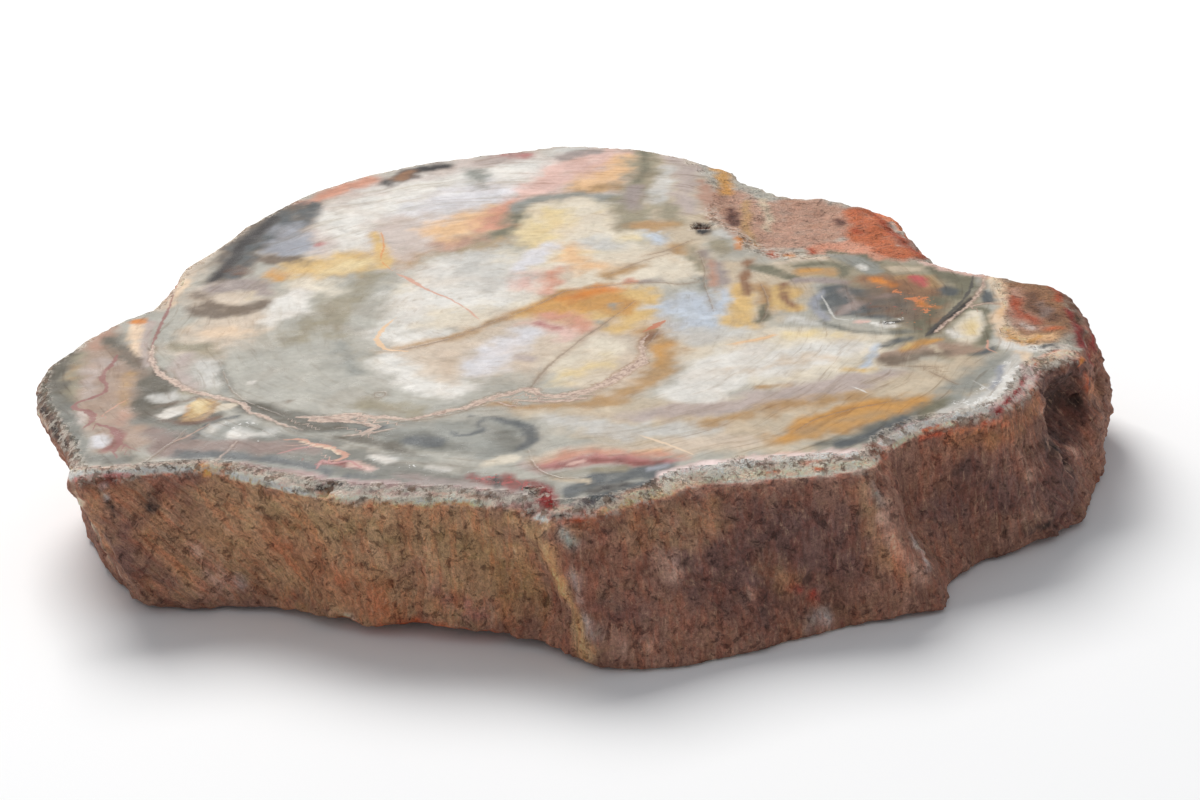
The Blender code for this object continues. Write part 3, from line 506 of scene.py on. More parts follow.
    ("tan ground, ochre streak", "tan", 2, (19, -36.4, 0.8), (25, -33.6, 2.6), (31, -31, 2.2),
     (34.4, -29.6, 1.2)),
    ("ochre streak", "ochre", 1.6, (20, -35.6, 0.8), (24, -33.2, 2), (29, -31.2, 1.8), (33, -30, 1.2)),
    ("tan in streak", "tan", 1.4, (21.6, -35, 0.5), (25, -33.6, 0.5), (30, -31.6, 0.4)),
    ("grey-green field at right", "ash", 2, (35.4, -31, 1), (38, -27, 2), (41, -23.6, 1.6), (42, -20.8, 1)),
    ("sand over that field", "sand", 2.4, (31, -24.4, 1.6), (36, -23.4, 1.8), (38.6, -21.4, 1)),
    ("slate under streak", "smoke", 1.4, (23.6, -38.2, 0.9), (26.4, -37.4, 1.6), (29.4, -35.6, 1.8),
     (32.4, -33.2, 1.5)),
    ("dark heart of that slate", "slate", 1, (24.8, -38.4, 0.7), (27.6, -37, 1), (31.2, -34, 1)),
    ("pale heart of that slate", "ash", 0.7, (25.4, -37, 0.3), (24.4, -36.8, 0.3)),
    ("olive at its end", "moss", 1.4, (33.6, -32, 0.8), (35.4, -30, 0.7)),
    ("white crust at right", "pale_grey", 1, (43.2, -20.4, 0.5), (42.6, -23.6, 0.9), (41, -27, 1.1),
     (38.8, -30.2, 1.1), (35.6, -32.8, 0.8)),
    ("white of that crust", "chalk", 0.7, (43, -22, 0.3), (41.6, -26, 0.6), (39, -30.6, 0.6),
     (36.4, -32.6, 0.5)),
    ("slate specks of that crust", "blue_grey", 0.5, (41.8, -23, 0.25), (40.6, -26.4, 0.3),
     (39.8, -28, 0.25)),
    ("olive patch", "fawn", 1.4, (31.4, -19, 1.2), (34, -17.6, 1.8), (37.6, -18.4, 1.4), (40, -18.6, 0.6)),
    ("brown, olive patch", "umber", 1.2, (31, -20, 0.6), (33.4, -20, 0.6), (37, -18.8, 0.6)),
    ("ochre, olive patch", "ochre", 1, (32.4, -18, 0.4), (34.4, -16.4, 0.6), (36.4, -15.4, 0.5)),
    ("honey in olive patch", "honey", 0.6, (32.8, -17.2, 0.4), (33.6, -16.2, 0.35)),
    ("dark edge, olive patch", "slate", 0.7, (30.8, -16.2, 0.4), (32, -15.2, 0.5), (33.8, -14.8, 0.4)),
    ("cream specks, patch", "sand", 0.6, (35.6, -17.2, 0.4), (36.4, -18.6, 0.3)),
    ("slate by corner", "slate", 0.6, (39.4, -19.7, 0.4), (41.6, -18.4, 0.4)),
    ("cream lobe", "chalk", 1.8, (10.4, -25, 1.6), (13, -23, 2.8), (16, -19, 3.6), (21, -17.4, 4.2),
     (26, -15.8, 3)),
    ("cream, lobe", "cream", 2, (20, -13.4, 1.2), (26, -13.4, 1.2), (30.4, -14, 0.5)),
    ("butter, lobe", "butter", 2, (22, -12.4, 0.4), (27, -12.8, 0.4)),
    ("warm haze on lobe", "beige", 2.4, (21, -17.5, 0.6), (25, -18, 0.6), (15, -20.5, 0.4)),
    ("white foot, lobe", "chalk", 1.2, (10.6, -26, 1), (12.8, -26, 1.4)),
    ("pink streak on lobe", "apricot", 0.6, (16.4, -13.8, 0.2), (20.4, -12.4, 0.25)),
    ("blue edge, lobe", "pale_blue", 0.6, (30.2, -15.8, 0.3), (29.4, -19, 0.45), (28.6, -21, 0.3)),
    ("tan under lobe", "tan", 0.9, (18.4, -24.4, 0.4), (21, -24.4, 0.3)),
    ("honey under lobe", "honey", 0.8, (27, -21.5, 0.4), (29.2, -21.8, 0.3)),
    # grounds along the front
    ("ground, front band", "smoke", 1.6, (-38, -29, 2), (-31, -31, 2.8), (-24, -33.8, 2.8),
     (-17, -38.4, 2.4), (-9, -42, 2.2), (-3, -44, 1.6)),
    ("mauve mottle, front band", "dusk_mauve", 1.6, (-38, -30.6, 1.4), (-32.6, -32, 1.2),
     (-27.6, -32.4, 1.3), (-24, -33, 0.8)),
    ("dark ground, gem pocket", "dark_olive", 1.5, (-41.2, -13.6, 0.9), (-40.6, -18, 1.7),
     (-38.6, -23.6, 2.2), (-34, -25, 1.1)),
    ("dark veil under seam", "smoke", 1.4, (-32, -21.6, 0.7), (-28, -25.4, 1.4), (-23, -28.2, 1.7),
     (-18.4, -29.2, 0.9)),
    ("dark stone under seam", "dark_olive", 1.1, (-27.4, -26.6, 0.5), (-25.2, -28.2, 0.8),
     (-22, -28.6, 0.7)),
    ("dark blotch beside seam", "dark_olive", 1, (-29.9, -22.8, 0.7), (-28.4, -24.2, 0.8),
     (-27.6, -25.2, 0.5)),
    # front middle
    ("tan under seam", "tan", 1.6, (-7, -25.2, 0.4), (-4.6, -26.4, 0.8), (-1, -26.4, 0.9), (5, -26.6, 0.6)),
    ("tan veil under seam", "sand", 2.2, (-5, -28, 0.4), (2, -28.4, 0.8), (8, -27.4, 0.6)),
    ("grey field, front", "pale_grey", 2.2, (-2, -29.6, 1), (2, -31.4, 1.8), (5, -33.4, 1.2)),
    ("grey heart, front", "ash", 1.5, (-17, -29.8, 1.2), (-12.4, -31.4, 3), (-7, -31.8, 3), (-8, -35, 2.2)),
    ("smoky left half, heart", "smoke", 1.6, (-18, -31, 0.9), (-14, -32.6, 2), (-11, -35, 1.2)),
    ("smoky right half, heart", "smoke", 1.6, (-6.4, -32.2, 0.9), (-5.8, -35, 0.9)),
    ("crescent, swirl", "slate", 0.7, (-9.2, -27.7, 0.1), (-7.4, -28.5, 0.4), (-5.2, -29.9, 0.6),
     (-3.7, -32.4, 0.8), (-3.9, -34.6, 0.7), (-5.2, -35.6, 0.1)),
    ("hook, swirl", "slate", 0.5, (-8.3, -28.8, 0.2), (-8.7, -29.8, 0.3), (-8.2, -30.8, 0.3),
     (-9.4, -31.7, 0.25)),
    ("end, hook", "slate", 0.5, (-9.4, -31.7, 0.2), (-10.4, -31.7, 0.25), (-10.8, -30.9, 0.15)),
    ("dark patch, heart", "slate", 1.1, (-14, -32.6, 1.1), (-12.4, -33, 1)),
    ("dark arm, heart", "dark_olive", 0.9, (-22, -30.9, 0.35), (-19.4, -31.4, 0.7), (-17.2, -33, 0.8),
     (-15.4, -35, 0.5), (-14.2, -36.2, 0.2)),
    ("dark lens under seam", "slate", 0.7, (-19.4, -29.6, 0.4), (-17, -29.3, 0.4)),
    ("light lens under seam", "ash", 0.7, (-16.6, -28.4, 0.3), (-13.6, -28.8, 0.4)),
    ("light rim, heart", "pale_grey", 0.9, (-17.6, -36, 0.4), (-16, -37, 0.5)),
    ("fog rim, heart", "fog", 1.2, (-15.4, -37.6, 0.4), (-12, -39, 0.7), (-9.6, -40, 0.5)),
    ("light crumbs of that rim", "pale_grey", 0.6, (-13, -38.6, 0.3), (-11.4, -39.4, 0.4)),
    ("mauve front field", "mauve_grey", 1.2, (-15, -40.6, 0.7), (-11, -42.4, 1), (-7, -43.6, 1.2),
     (-4, -44.6, 0.9)),
    ("smoke in front field", "smoke", 0.8, (-20.4, -38.6, 0.8), (-17, -41, 0.7), (-13.4, -42.6, 0.4)),
    ("cream oval", "cream", 0.7, (-7.6, -38.3, 0.5), (-5.2, -37.4, 0.7)),
    ("heather beside oval", "heather", 0.8, (-4, -38.8, 0.6), (-2.6, -40.6, 0.6)),
    ("peach over crimson", "beige", 1.6, (-3, -37.6, 0.4), (2.6, -36.6, 0.9), (8, -36.8, 0.8),
     (10.6, -38.4, 0.4)),
    ("apricot over crimson", "apricot", 1.6, (5, -37.2, 0.2), (8.4, -37.8, 0.4)),
    ("haze round streak", "salmon", 2.2, (-1.6, -38.4, 0.4), (2.4, -37.8, 0.8), (6.6, -38.4, 0.7),
     (10.2, -39.4, 0.3)),
    ("crimson streak", "rose", 1.2, (-2, -39.5, 0.6), (1.4, -39.1, 1), (4, -39.3, 0.9), (6.8, -40, 0.7),
     (9.8, -40.2, 0.4)),
    ("heart, crimson streak", "wine", 0.9, (-1.2, -39.8, 0.2), (1.8, -39.3, 0.3), (5, -39.7, 0.25),
     (8, -40.2, 0.15)),
    ("pink in crimson", "pink", 0.5, (0.2, -39.4, 0.2), (1, -39.1, 0.15)),
    ("slate, front rim", "slate", 1, (0, -45.2, 1), (2.6, -43.4, 1.3), (5.4, -42, 1.3), (8.4, -41.6, 1.1)),
    ("slate, lower part", "slate", 0.9, (7.6, -43.6, 0.9), (4, -46.2, 1.3), (1.6, -47.4, 1)),
    ("dark core, slate", "charcoal", 1, (2.2, -45.4, 0.4), (5, -44.2, 0.4)),
    ("blue in slate", "blue_grey", 0.7, (7.2, -41.2, 0.4), (8.6, -41, 0.3)),
    ("olive over slate", "olive_grey", 0.8, (2, -41.4, 0.5), (4.6, -40.9, 0.5)),
    ("cream worm", "sand", 0.4, (-1.6, -42.2, 0.25), (0.4, -43, 0.35), (1.8, -43.4, 0.3)),
    ("wine mottle, left", "wine", 0.8, (-9, -40.8, 0.7), (-7.4, -42, 0.7)),
    ("wine mottle, middle", "wine", 0.8, (-5.8, -41.2, 0.8), (-5, -43.2, 0.8)),
    ("wine mottle, right", "wine", 0.8, (-3.8, -42.4, 0.6), (-2.4, -44, 0.7)),
    ("dark gaps, mottle", "charcoal", 0.6, (-6.9, -41, 0.3), (-6.6, -43.2, 0.35)),
    ("second dark gap", "charcoal", 0.6, (-4.1, -43.6, 0.4), (-3.6, -45, 0.4)),
    ("heather in mottle", "heather", 0.6, (-8, -43.4, 0.5), (-5.6, -44.8, 0.5)),
    ("blood red at notch", "blood", 0.6, (-2.2, -44.6, 0.6), (-2.4, -46.4, 0.8)),
    ("pale tooth by red", "sand", 0.5, (-1, -48.2, 0.5)),
    ("cream edge, front", "cream", 0.7, (-18, -43.3, 0.4), (-14, -44, 0.5), (-9, -45.2, 0.4)),
    # left front
    ("quartz pocket", "pale_grey", 1.2, (-34, -27.6, 1.2), (-31.4, -27, 1.5), (-31, -29.4, 1.2),
     (-28.4, -28.6, 0.8)),
    ("grey in quartz pocket", "ash", 1.2, (-33, -29.8, 0.6), (-31.8, -26.4, 0.6), (-29.4, -28, 0.7)),
    ("mauve streaks, pocket", "dusk_mauve", 1.2, (-37, -28, 0.5), (-34.6, -30, 0.4), (-31, -31, 0.5),
     (-28.6, -31.6, 0.3)),
    ("white crystals left", "chalk", 0.6, (-33.9, -27.2, 0.4), (-33.7, -27.9, 0.35)),
    ("white crystals middle", "chalk", 0.6, (-31.8, -28.7, 0.5), (-31.4, -29.4, 0.4)),
    ("dark line over pocket", "slate", 0.5, (-35.4, -29.2, 0.2), (-34.4, -26.2, 0.2), (-31.6, -24.9, 0.25)),
    ("dark band, front left", "slate", 0.8, (-36.6, -32.4, 0.9), (-34.6, -33, 0.8), (-31, -34, 0.7),
     (-27.6, -35, 0.5)),
    ("dark band, right end", "slate", 0.9, (-27.6, -34.8, 0.6), (-24.4, -36.8, 0.7), (-22, -38.6, 0.6)),
    ("ash beside band", "ash", 0.8, (-28.6, -36.2, 0.5), (-25.4, -37.8, 0.6), (-22.4, -39.6, 0.5)),
    ("brown crumbs, band", "brown", 0.8, (-31.6, -35.6, 0.4), (-28.4, -37, 0.3)),
    ("wine tuft", "wine", 0.6, (-23, -36.4, 0.3), (-21, -36.6, 0.5), (-18.8, -38, 0.4)),
    ("pink tuft", "pink", 0.5, (-19.8, -36.8, 0.5), (-18.2, -38.2, 0.4)),
    ("white tuft", "chalk", 0.6, (-18, -35.6, 0.4), (-16.6, -36.9, 0.6)),
    ("slate below tuft", "slate", 0.8, (-20, -39.6, 0.4), (-17.6, -40, 0.3)),
    ("fawn, bump", "fawn", 2, (-47, -3.4, 2), (-46.6, -11, 3), (-45.6, -18, 3.2), (-44, -24, 3),
     (-42, -30, 2)),
    ("pink of bump, upper", "clay", 1.8, (-46.8, -2.4, 0.9), (-47.2, -6, 0.6)),
    ("tan, bump", "fawn", 2, (-44.2, -9.6, 0.8), (-44, -14.6, 1.4), (-43.4, -19.6, 1.2)),
    ("warm brown, bump", "tan", 1.6, (-43.6, -13.4, 0.3), (-43.2, -17.6, 0.4), (-42.6, -21, 0.3)),
    ("heather, bump", "heather", 1.8, (-46.8, -9.4, 0.3), (-47.2, -14, 0.4), (-46.4, -17.4, 0.3)),
    ("olive side, bump", "olive_grey", 1.4, (-49, -8, 0.6), (-49, -14, 0.8), (-48.9, -18.6, 0.6)),
    ("tan side, bump", "tan", 1.2, (-49.2, -11, 0.3), (-49.2, -13, 0.3)),
    ("dark olive rim", "dark_olive", 1.4, (-50.2, -7.6, 1), (-51, -10, 1.5), (-51, -15, 1.8),
     (-50.2, -19, 1.5), (-49, -23, 1)),
    ("dark olive rim, lower end", "smoke", 1.2, (-50, -18, 0.8), (-48.8, -22, 0.9), (-47.8, -26, 0.9),
     (-46.6, -30.6, 0.9), (-45, -33, 0.7)),
    ("dark top, bump", "dark_olive", 1.8, (-45.6, -3.8, 0.6), (-44.8, -7, 1.1), (-43.4, -11, 0.8)),
    ("umber edge, bump", "umber", 1.4, (-44.2, -8, 0.6), (-42.6, -12.4, 0.6), (-41.6, -15, 0.4)),
    ("dark band inside bump", "dark_olive", 1.4, (-41.4, -15.4, 0.8), (-40.9, -18, 1), (-40.8, -22, 0.8),
     (-40.6, -24.6, 0.8)),
    ("dark lens over gems", "dark_olive", 0.9, (-41.2, -16.2, 0.6), (-39.6, -16.4, 0.6),
     (-38.4, -17.2, 0.3)),
    ("smoky foot of that band", "smoke", 1.6, (-40.4, -25, 0.9), (-39.6, -28, 0.8)),
    ("pink, bump", "clay", 1.6, (-43.4, -25, 0.4), (-42.6, -22.6, 0.3)),
    ("tan foot, bump", "fawn", 1.4, (-41.4, -26.4, 0.7), (-40.8, -29.6, 0.7)),
    ("upper oval", "rose_grey", 0.8, (-47, -22.2, 0.4), (-46.8, -23.8, 0.5)),
    ("smoke round lower oval", "smoke", 1.2, (-46.6, -26.8, 0.5), (-46, -30.4, 0.7), (-44.6, -32.6, 0.8),
     (-41, -33.2, 0.7)),
    ("wine round lower oval", "wine", 0.9, (-43.2, -26.4, 0.2), (-42.5, -28.4, 0.4), (-42.9, -31, 0.3)),
    ("lower oval", "lilac_white", 0.7, (-44.4, -28.3, 0.8), (-44, -29.6, 0.8)),
    ("mauve field, left", "dusk_mauve", 1.2, (-39.6, -27.4, 0.9), (-38.6, -30, 1.1), (-37.8, -32, 0.7)),
    ("smoke under gem", "smoke", 1, (-38.6, -26.2, 0.6), (-36, -27, 0.6)),
    ("grey gem", "pale_grey", 0.8, (-40.2, -18.9, 0.6), (-39, -19.6, 1), (-38.2, -18.8, 0.7)),
    ("olive gem", "olive_grey", 0.9, (-37.4, -18.4, 0.4), (-36.6, -19, 0.3)),
    ("umber round gems", "umber", 0.7, (-39.6, -21.6, 0.2), (-37.4, -20.4, 0.25), (-35.6, -19.6, 0.2)),
    ("shadow under gems", "cocoa", 0.7, (-39, -25, 0.3), (-37.2, -25.7, 0.5), (-35.4, -25.5, 0.4),
     (-33.4, -24.8, 0.2)),
    ("outline, gems", "tan", 0.35, (-36.9, -24.9, 0.35), (-35.4, -25, 0.35), (-34.4, -23.6, 0.4),
     (-33.9, -22, 0.5), (-34.6, -20.8, 0.5), (-35.8, -20.3, 0.3)),
    ("honey gem", "honey", 0.4, (-35.7, -21.4, 0.9), (-35.2, -21.8, 0.8), (-35.9, -23.4, 0.9),
     (-36.1, -24.1, 0.5)),
    ("butter, gem", "butter", 0.6, (-35.6, -21.2, 0.6), (-35.7, -23, 0.5)),
    ("ochre lines, gem", "ochre", 0.3, (-36.7, -21.6, 0.12), (-36.6, -23, 0.12), (-37, -24.4, 0.15)),
    ("white drop", "chalk", 0.45, (-38.8, -23.8, 0.8), (-38, -23, 0.9), (-37.3, -22.2, 0.6)),
    ("cream wedge", "cream", 0.4, (-33.8, -23.2, 0.45), (-32.9, -22.4, 0.7), (-32.3, -22.2, 0.4)),
    ("white spot, left field", "chalk", 0.4, (-30.8, -17, 0.35)),
    ("brown spot, left field", "umber", 0.6, (-27, -22.1, 0.35)),
    ("crust between bump and seam", "peach", 0.8, (-42.5, -8.6, 0.4), (-43.5, -5, 0.6), (-43.7, -1, 0.8)),
    ("heather between bump and seam", "heather", 0.7, (-42, -11.4, 0.3), (-42.5, -6, 0.4), (-42.6, 0, 0.4)),
    ("amber spot, left rim", "amber", 0.7, (-43.9, 0.3, 0.8)),
    ("slate beside amber spot", "blue_grey", 0.4, (-43, 0.6, 0.2)),
    ("crust, left rim", "beige", 0.8, (-42.6, 3.4, 0.7), (-41.8, 7, 0.7)),
    ("clay, left rim", "clay", 0.8, (-42, 6, 0.3), (-41.4, 11, 0.4)),
)

# Pale chipped lip and dark rim marks. They are painted after the zones and also colour the
# edge below the face; on steep parts their colours are then brightened as painted light
# against the shade there. Each has a name, a tint, a softness, and circles on the same plan.
LIP_ZONES = (
    ("dark rim, bump", "umber", 0.9, (-52.6, -12, 0.5), (-52.4, -16, 0.7), (-51, -21, 0.8),
     (-49.4, -26, 0.8), (-47.6, -31, 0.8), (-46.8, -34, 0.5)),
    ("black crumbs of that rim", "charcoal", 0.6, (-51.9, -17.4, 0.3), (-51, -20.6, 0.4), (-50, -23.2, 0.3),
     (-49, -26.4, 0.4), (-47.8, -29.8, 0.35)),
    ("thin pale edge of that rim", "sand", 0.4, (-53.4, -14, 0.2), (-52.2, -20, 0.2), (-50.4, -25.4, 0.2)),
    ("crust, front left lip", "peach", 0.7, (-46.2, -35.4, 0.8), (-42, -35.6, 0.9), (-35, -35.4, 0.8),
     (-32, -36.2, 0.6)),
    ("white lip, front left", "chalk", 0.6, (-46, -36, 0.9), (-42, -36, 0.9), (-38, -35.5, 0.7),
     (-35.4, -35.6, 0.4)),
    ("pink under white lip", "rose", 0.4, (-46, -36.9, 0.25), (-43, -36.6, 0.25), (-40, -36.2, 0.2)),
    ("dark columns under lip", "plum", 0.5, (-45.4, -37.6, 0.3), (-44.2, -37.8, 0.4), (-42, -37.4, 0.5)),
    ("ochre chip", "ochre", 0.4, (-34.4, -35.7, 0.5), (-33.4, -36.8, 0.5)),
    ("brown gap in teeth", "brown", 0.5, (-31.6, -37, 0.5), (-30.6, -38, 0.4)),
    ("grey above teeth", "mauve_grey", 0.8, (-30, -35.8, 0.3), (-25, -38.4, 0.4), (-19, -41.2, 0.5),
     (-13, -42.6, 0.4), (-8, -43.6, 0.3)),
    ("crust, teeth", "cream", 0.8, (-31, -37.6, 0.8), (-26.6, -40.8, 1.1), (-23.4, -43, 0.9)),
    ("tan foot, teeth", "tan", 0.6, (-30.6, -39, 0.3), (-27.6, -41.4, 0.35), (-24.8, -43.4, 0.3)),
    ("cream teeth", "cream", 0.5, (-29.8, -38.4, 0.6), (-27.8, -40, 0.4), (-26, -41.2, 0.7),
     (-24, -42.6, 0.6)),
    ("grey teeth", "pale_grey", 0.5, (-28.2, -39.4, 0.3), (-25.2, -41.8, 0.3)),
    # Painted shade: the black pits of the lip are the shade in pits, painted in black.
    ("black pit", "pitch", 0.5, (-22.6, -41.8, 0.6), (-21, -41, 0.7)),
    ("peach under pit", "apricot", 0.5, (-22.6, -43.6, 0.3), (-20.4, -43.8, 0.3)),
    ("crust, front lip", "cream", 0.8, (-20, -43.8, 0.8), (-13, -45, 1), (-7.6, -46.4, 0.9)),
    ("tan foot, front lip", "tan", 0.7, (-18, -45.2, 0.4), (-13.6, -46.2, 0.35), (-9, -47, 0.35)),
    ("brown gaps, front lip", "umber", 0.5, (-15.6, -44.6, 0.3), (-10, -45, 0.35), (-6.6, -45.8, 0.3)),
    ("cream lip, front", "cream", 0.6, (-17.4, -44, 0.5), (-14, -44.6, 0.6), (-11.4, -45.2, 0.5),
     (-8.4, -46, 0.5)),
    ("grey gaps in that lip", "mauve_grey", 0.5, (-18.8, -43.2, 0.3), (-12.6, -44.2, 0.3)),
    ("mauve, notch", "dusk_mauve", 0.8, (-6.4, -46.8, 0.6), (-3.4, -47.4, 0.7), (-1.6, -49, 0.8),
     (0.6, -49.6, 0.5)),
    ("blood red, notch", "blood", 0.7, (-2.2, -46.4, 0.8), (-1.7, -47.6, 0.7)),
    # Painted shade: black pits at the notch.
    ("black pits at notch", "pitch", 0.5, (-4.2, -48.4, 0.45), (-3.6, -49.2, 0.4)),
    ("second black pit", "pitch", 0.5, (-1.4, -49.8, 0.5), (-0.8, -50, 0.3)),
    ("pale tooth at notch", "chalk", 0.5, (-3, -50, 0.45), (-2.6, -50.8, 0.3)),
    ("sand tooth at notch", "sand", 0.6, (-1.2, -48.4, 0.6), (0.4, -48.6, 0.4)),
    ("rust under notch", "brown", 0.6, (-0.6, -51.4, 0.3), (1.6, -51, 0.4)),
    ("bright rust in that brown", "rust", 0.5, (-0.2, -51.3, 0.1), (1, -51.1, 0.15)),
    ("slate lip at notch", "slate", 0.9, (1, -47.6, 0.8), (3.6, -46.4, 0.6)),
    ("peach lip right, notch", "apricot", 0.8, (2.6, -49.6, 0.4), (5, -47.8, 0.6), (8.4, -46.6, 0.6)),
    ("rose lip right, notch", "peach", 0.8, (4.4, -46.8, 0.3), (7.6, -45.4, 0.6), (9.6, -44.6, 0.6)),
    ("ground, front right lip", "cream", 0.8, (9, -43.8, 1.4), (14, -43.2, 1.7), (20, -42.4, 1.8),
     (26.6, -41.8, 1.6)),
    ("white band, front right", "chalk", 0.8, (8.6, -42.6, 0.6), (12.4, -41.6, 0.8), (17, -41, 0.8),
     (21, -40.4, 0.7), (25.4, -40.5, 0.7)),
    ("peach band below it", "peach", 0.7, (8.6, -45.6, 0.5), (14, -44.4, 0.6), (20, -43.6, 0.7),
     (27, -42.8, 0.7)),
    ("cream foot of that band", "cream", 0.5, (13, -45, 0.3), (21, -44.6, 0.4), (26.6, -43.6, 0.4)),
    ("bright crust, left", "chalk", 0.4, (18.6, -40, 0.4), (20.4, -40, 0.5)),
    ("slate blob, left", "slate", 0.5, (17.6, -41.4, 0.35), (18.6, -41.8, 0.3)),
    ("slate blob, right", "slate", 0.5, (23.6, -41.4, 0.2), (25.6, -41.6, 0.35)),
    ("salmon streak, band", "salmon", 0.6, (21, -42, 0.3), (22.8, -41.6, 0.2)),
    ("red crumbs, left", "brick", 0.4, (18, -43.6, 0.25), (19.8, -44, 0.3)),
    ("red crumbs, right", "brick", 0.4, (22, -43.2, 0.2), (23.6, -43.8, 0.2)),
    ("dark gap between lips", "cocoa", 0.9, (27.4, -39.4, 0.6), (28.2, -41.2, 0.6)),
    ("white lip, front right", "chalk", 0.6, (28.8, -38.9, 0.5), (29.8, -37.4, 0.8), (32.4, -35.4, 0.8),
     (36, -33.6, 0.8), (38.8, -32.2, 0.7)),
    ("cream foot of that lip", "peach", 0.5, (29.4, -40, 0.3), (31.4, -37.4, 0.3), (35.6, -35.4, 0.35)),
    ("salmon crumbs of that lip", "brick", 0.5, (32.8, -36.6, 0.35), (34.2, -35.6, 0.3)),
    ("rust under that lip", "rust", 0.8, (32.6, -37.8, 0.1), (34.2, -37.5, 0.15)),
    ("brown under that lip", "brown", 1, (35.4, -37, 0.4), (38, -36.8, 0.4)),
    ("second rust under that lip", "rust", 0.9, (39.6, -36.2, 0.1), (40.4, -35.6, 0.1)),
    ("crust, right lip", "rose_grey", 0.8, (39.6, -32.4, 0.6), (42, -29.4, 0.7), (43.8, -26.4, 0.7),
     (44.2, -23.4, 0.6)),
    ("dark red rim line", "blood", 0.5, (43.6, -25.6, 0.15), (42.6, -28, 0.25), (41.2, -30.8, 0.3),
     (39.8, -33.6, 0.3)),
    ("pink chip at right", "pink", 0.5, (43.7, -27.6, 0.4)),
    ("peach rim, corner", "peach", 0.8, (45.6, -21.6, 0.5), (48, -20.6, 0.6), (49.4, -21.4, 0.4)),
    ("rust chips at right", "rust", 0.6, (38.8, -35.6, 0.05), (40.4, -34.6, 0.1)),
    ("orange right edge", "amber", 0.7, (50, -22.4, 0.3), (50, -27, 0.35)),
)

# How much warmer the crumbling lip is than the polished face beside it
LIP_WARMTH = (1.2, 1.0, 1.03)

# The broken patch and the corner, where the upper side is rough
ROUGH_TOP = ((19, 37, 3), (26, 24, 8.5), (34, 14, 7.5), (40, 6, 4), (47.6, -5, 3.2), (47.4, -14, 3.6))

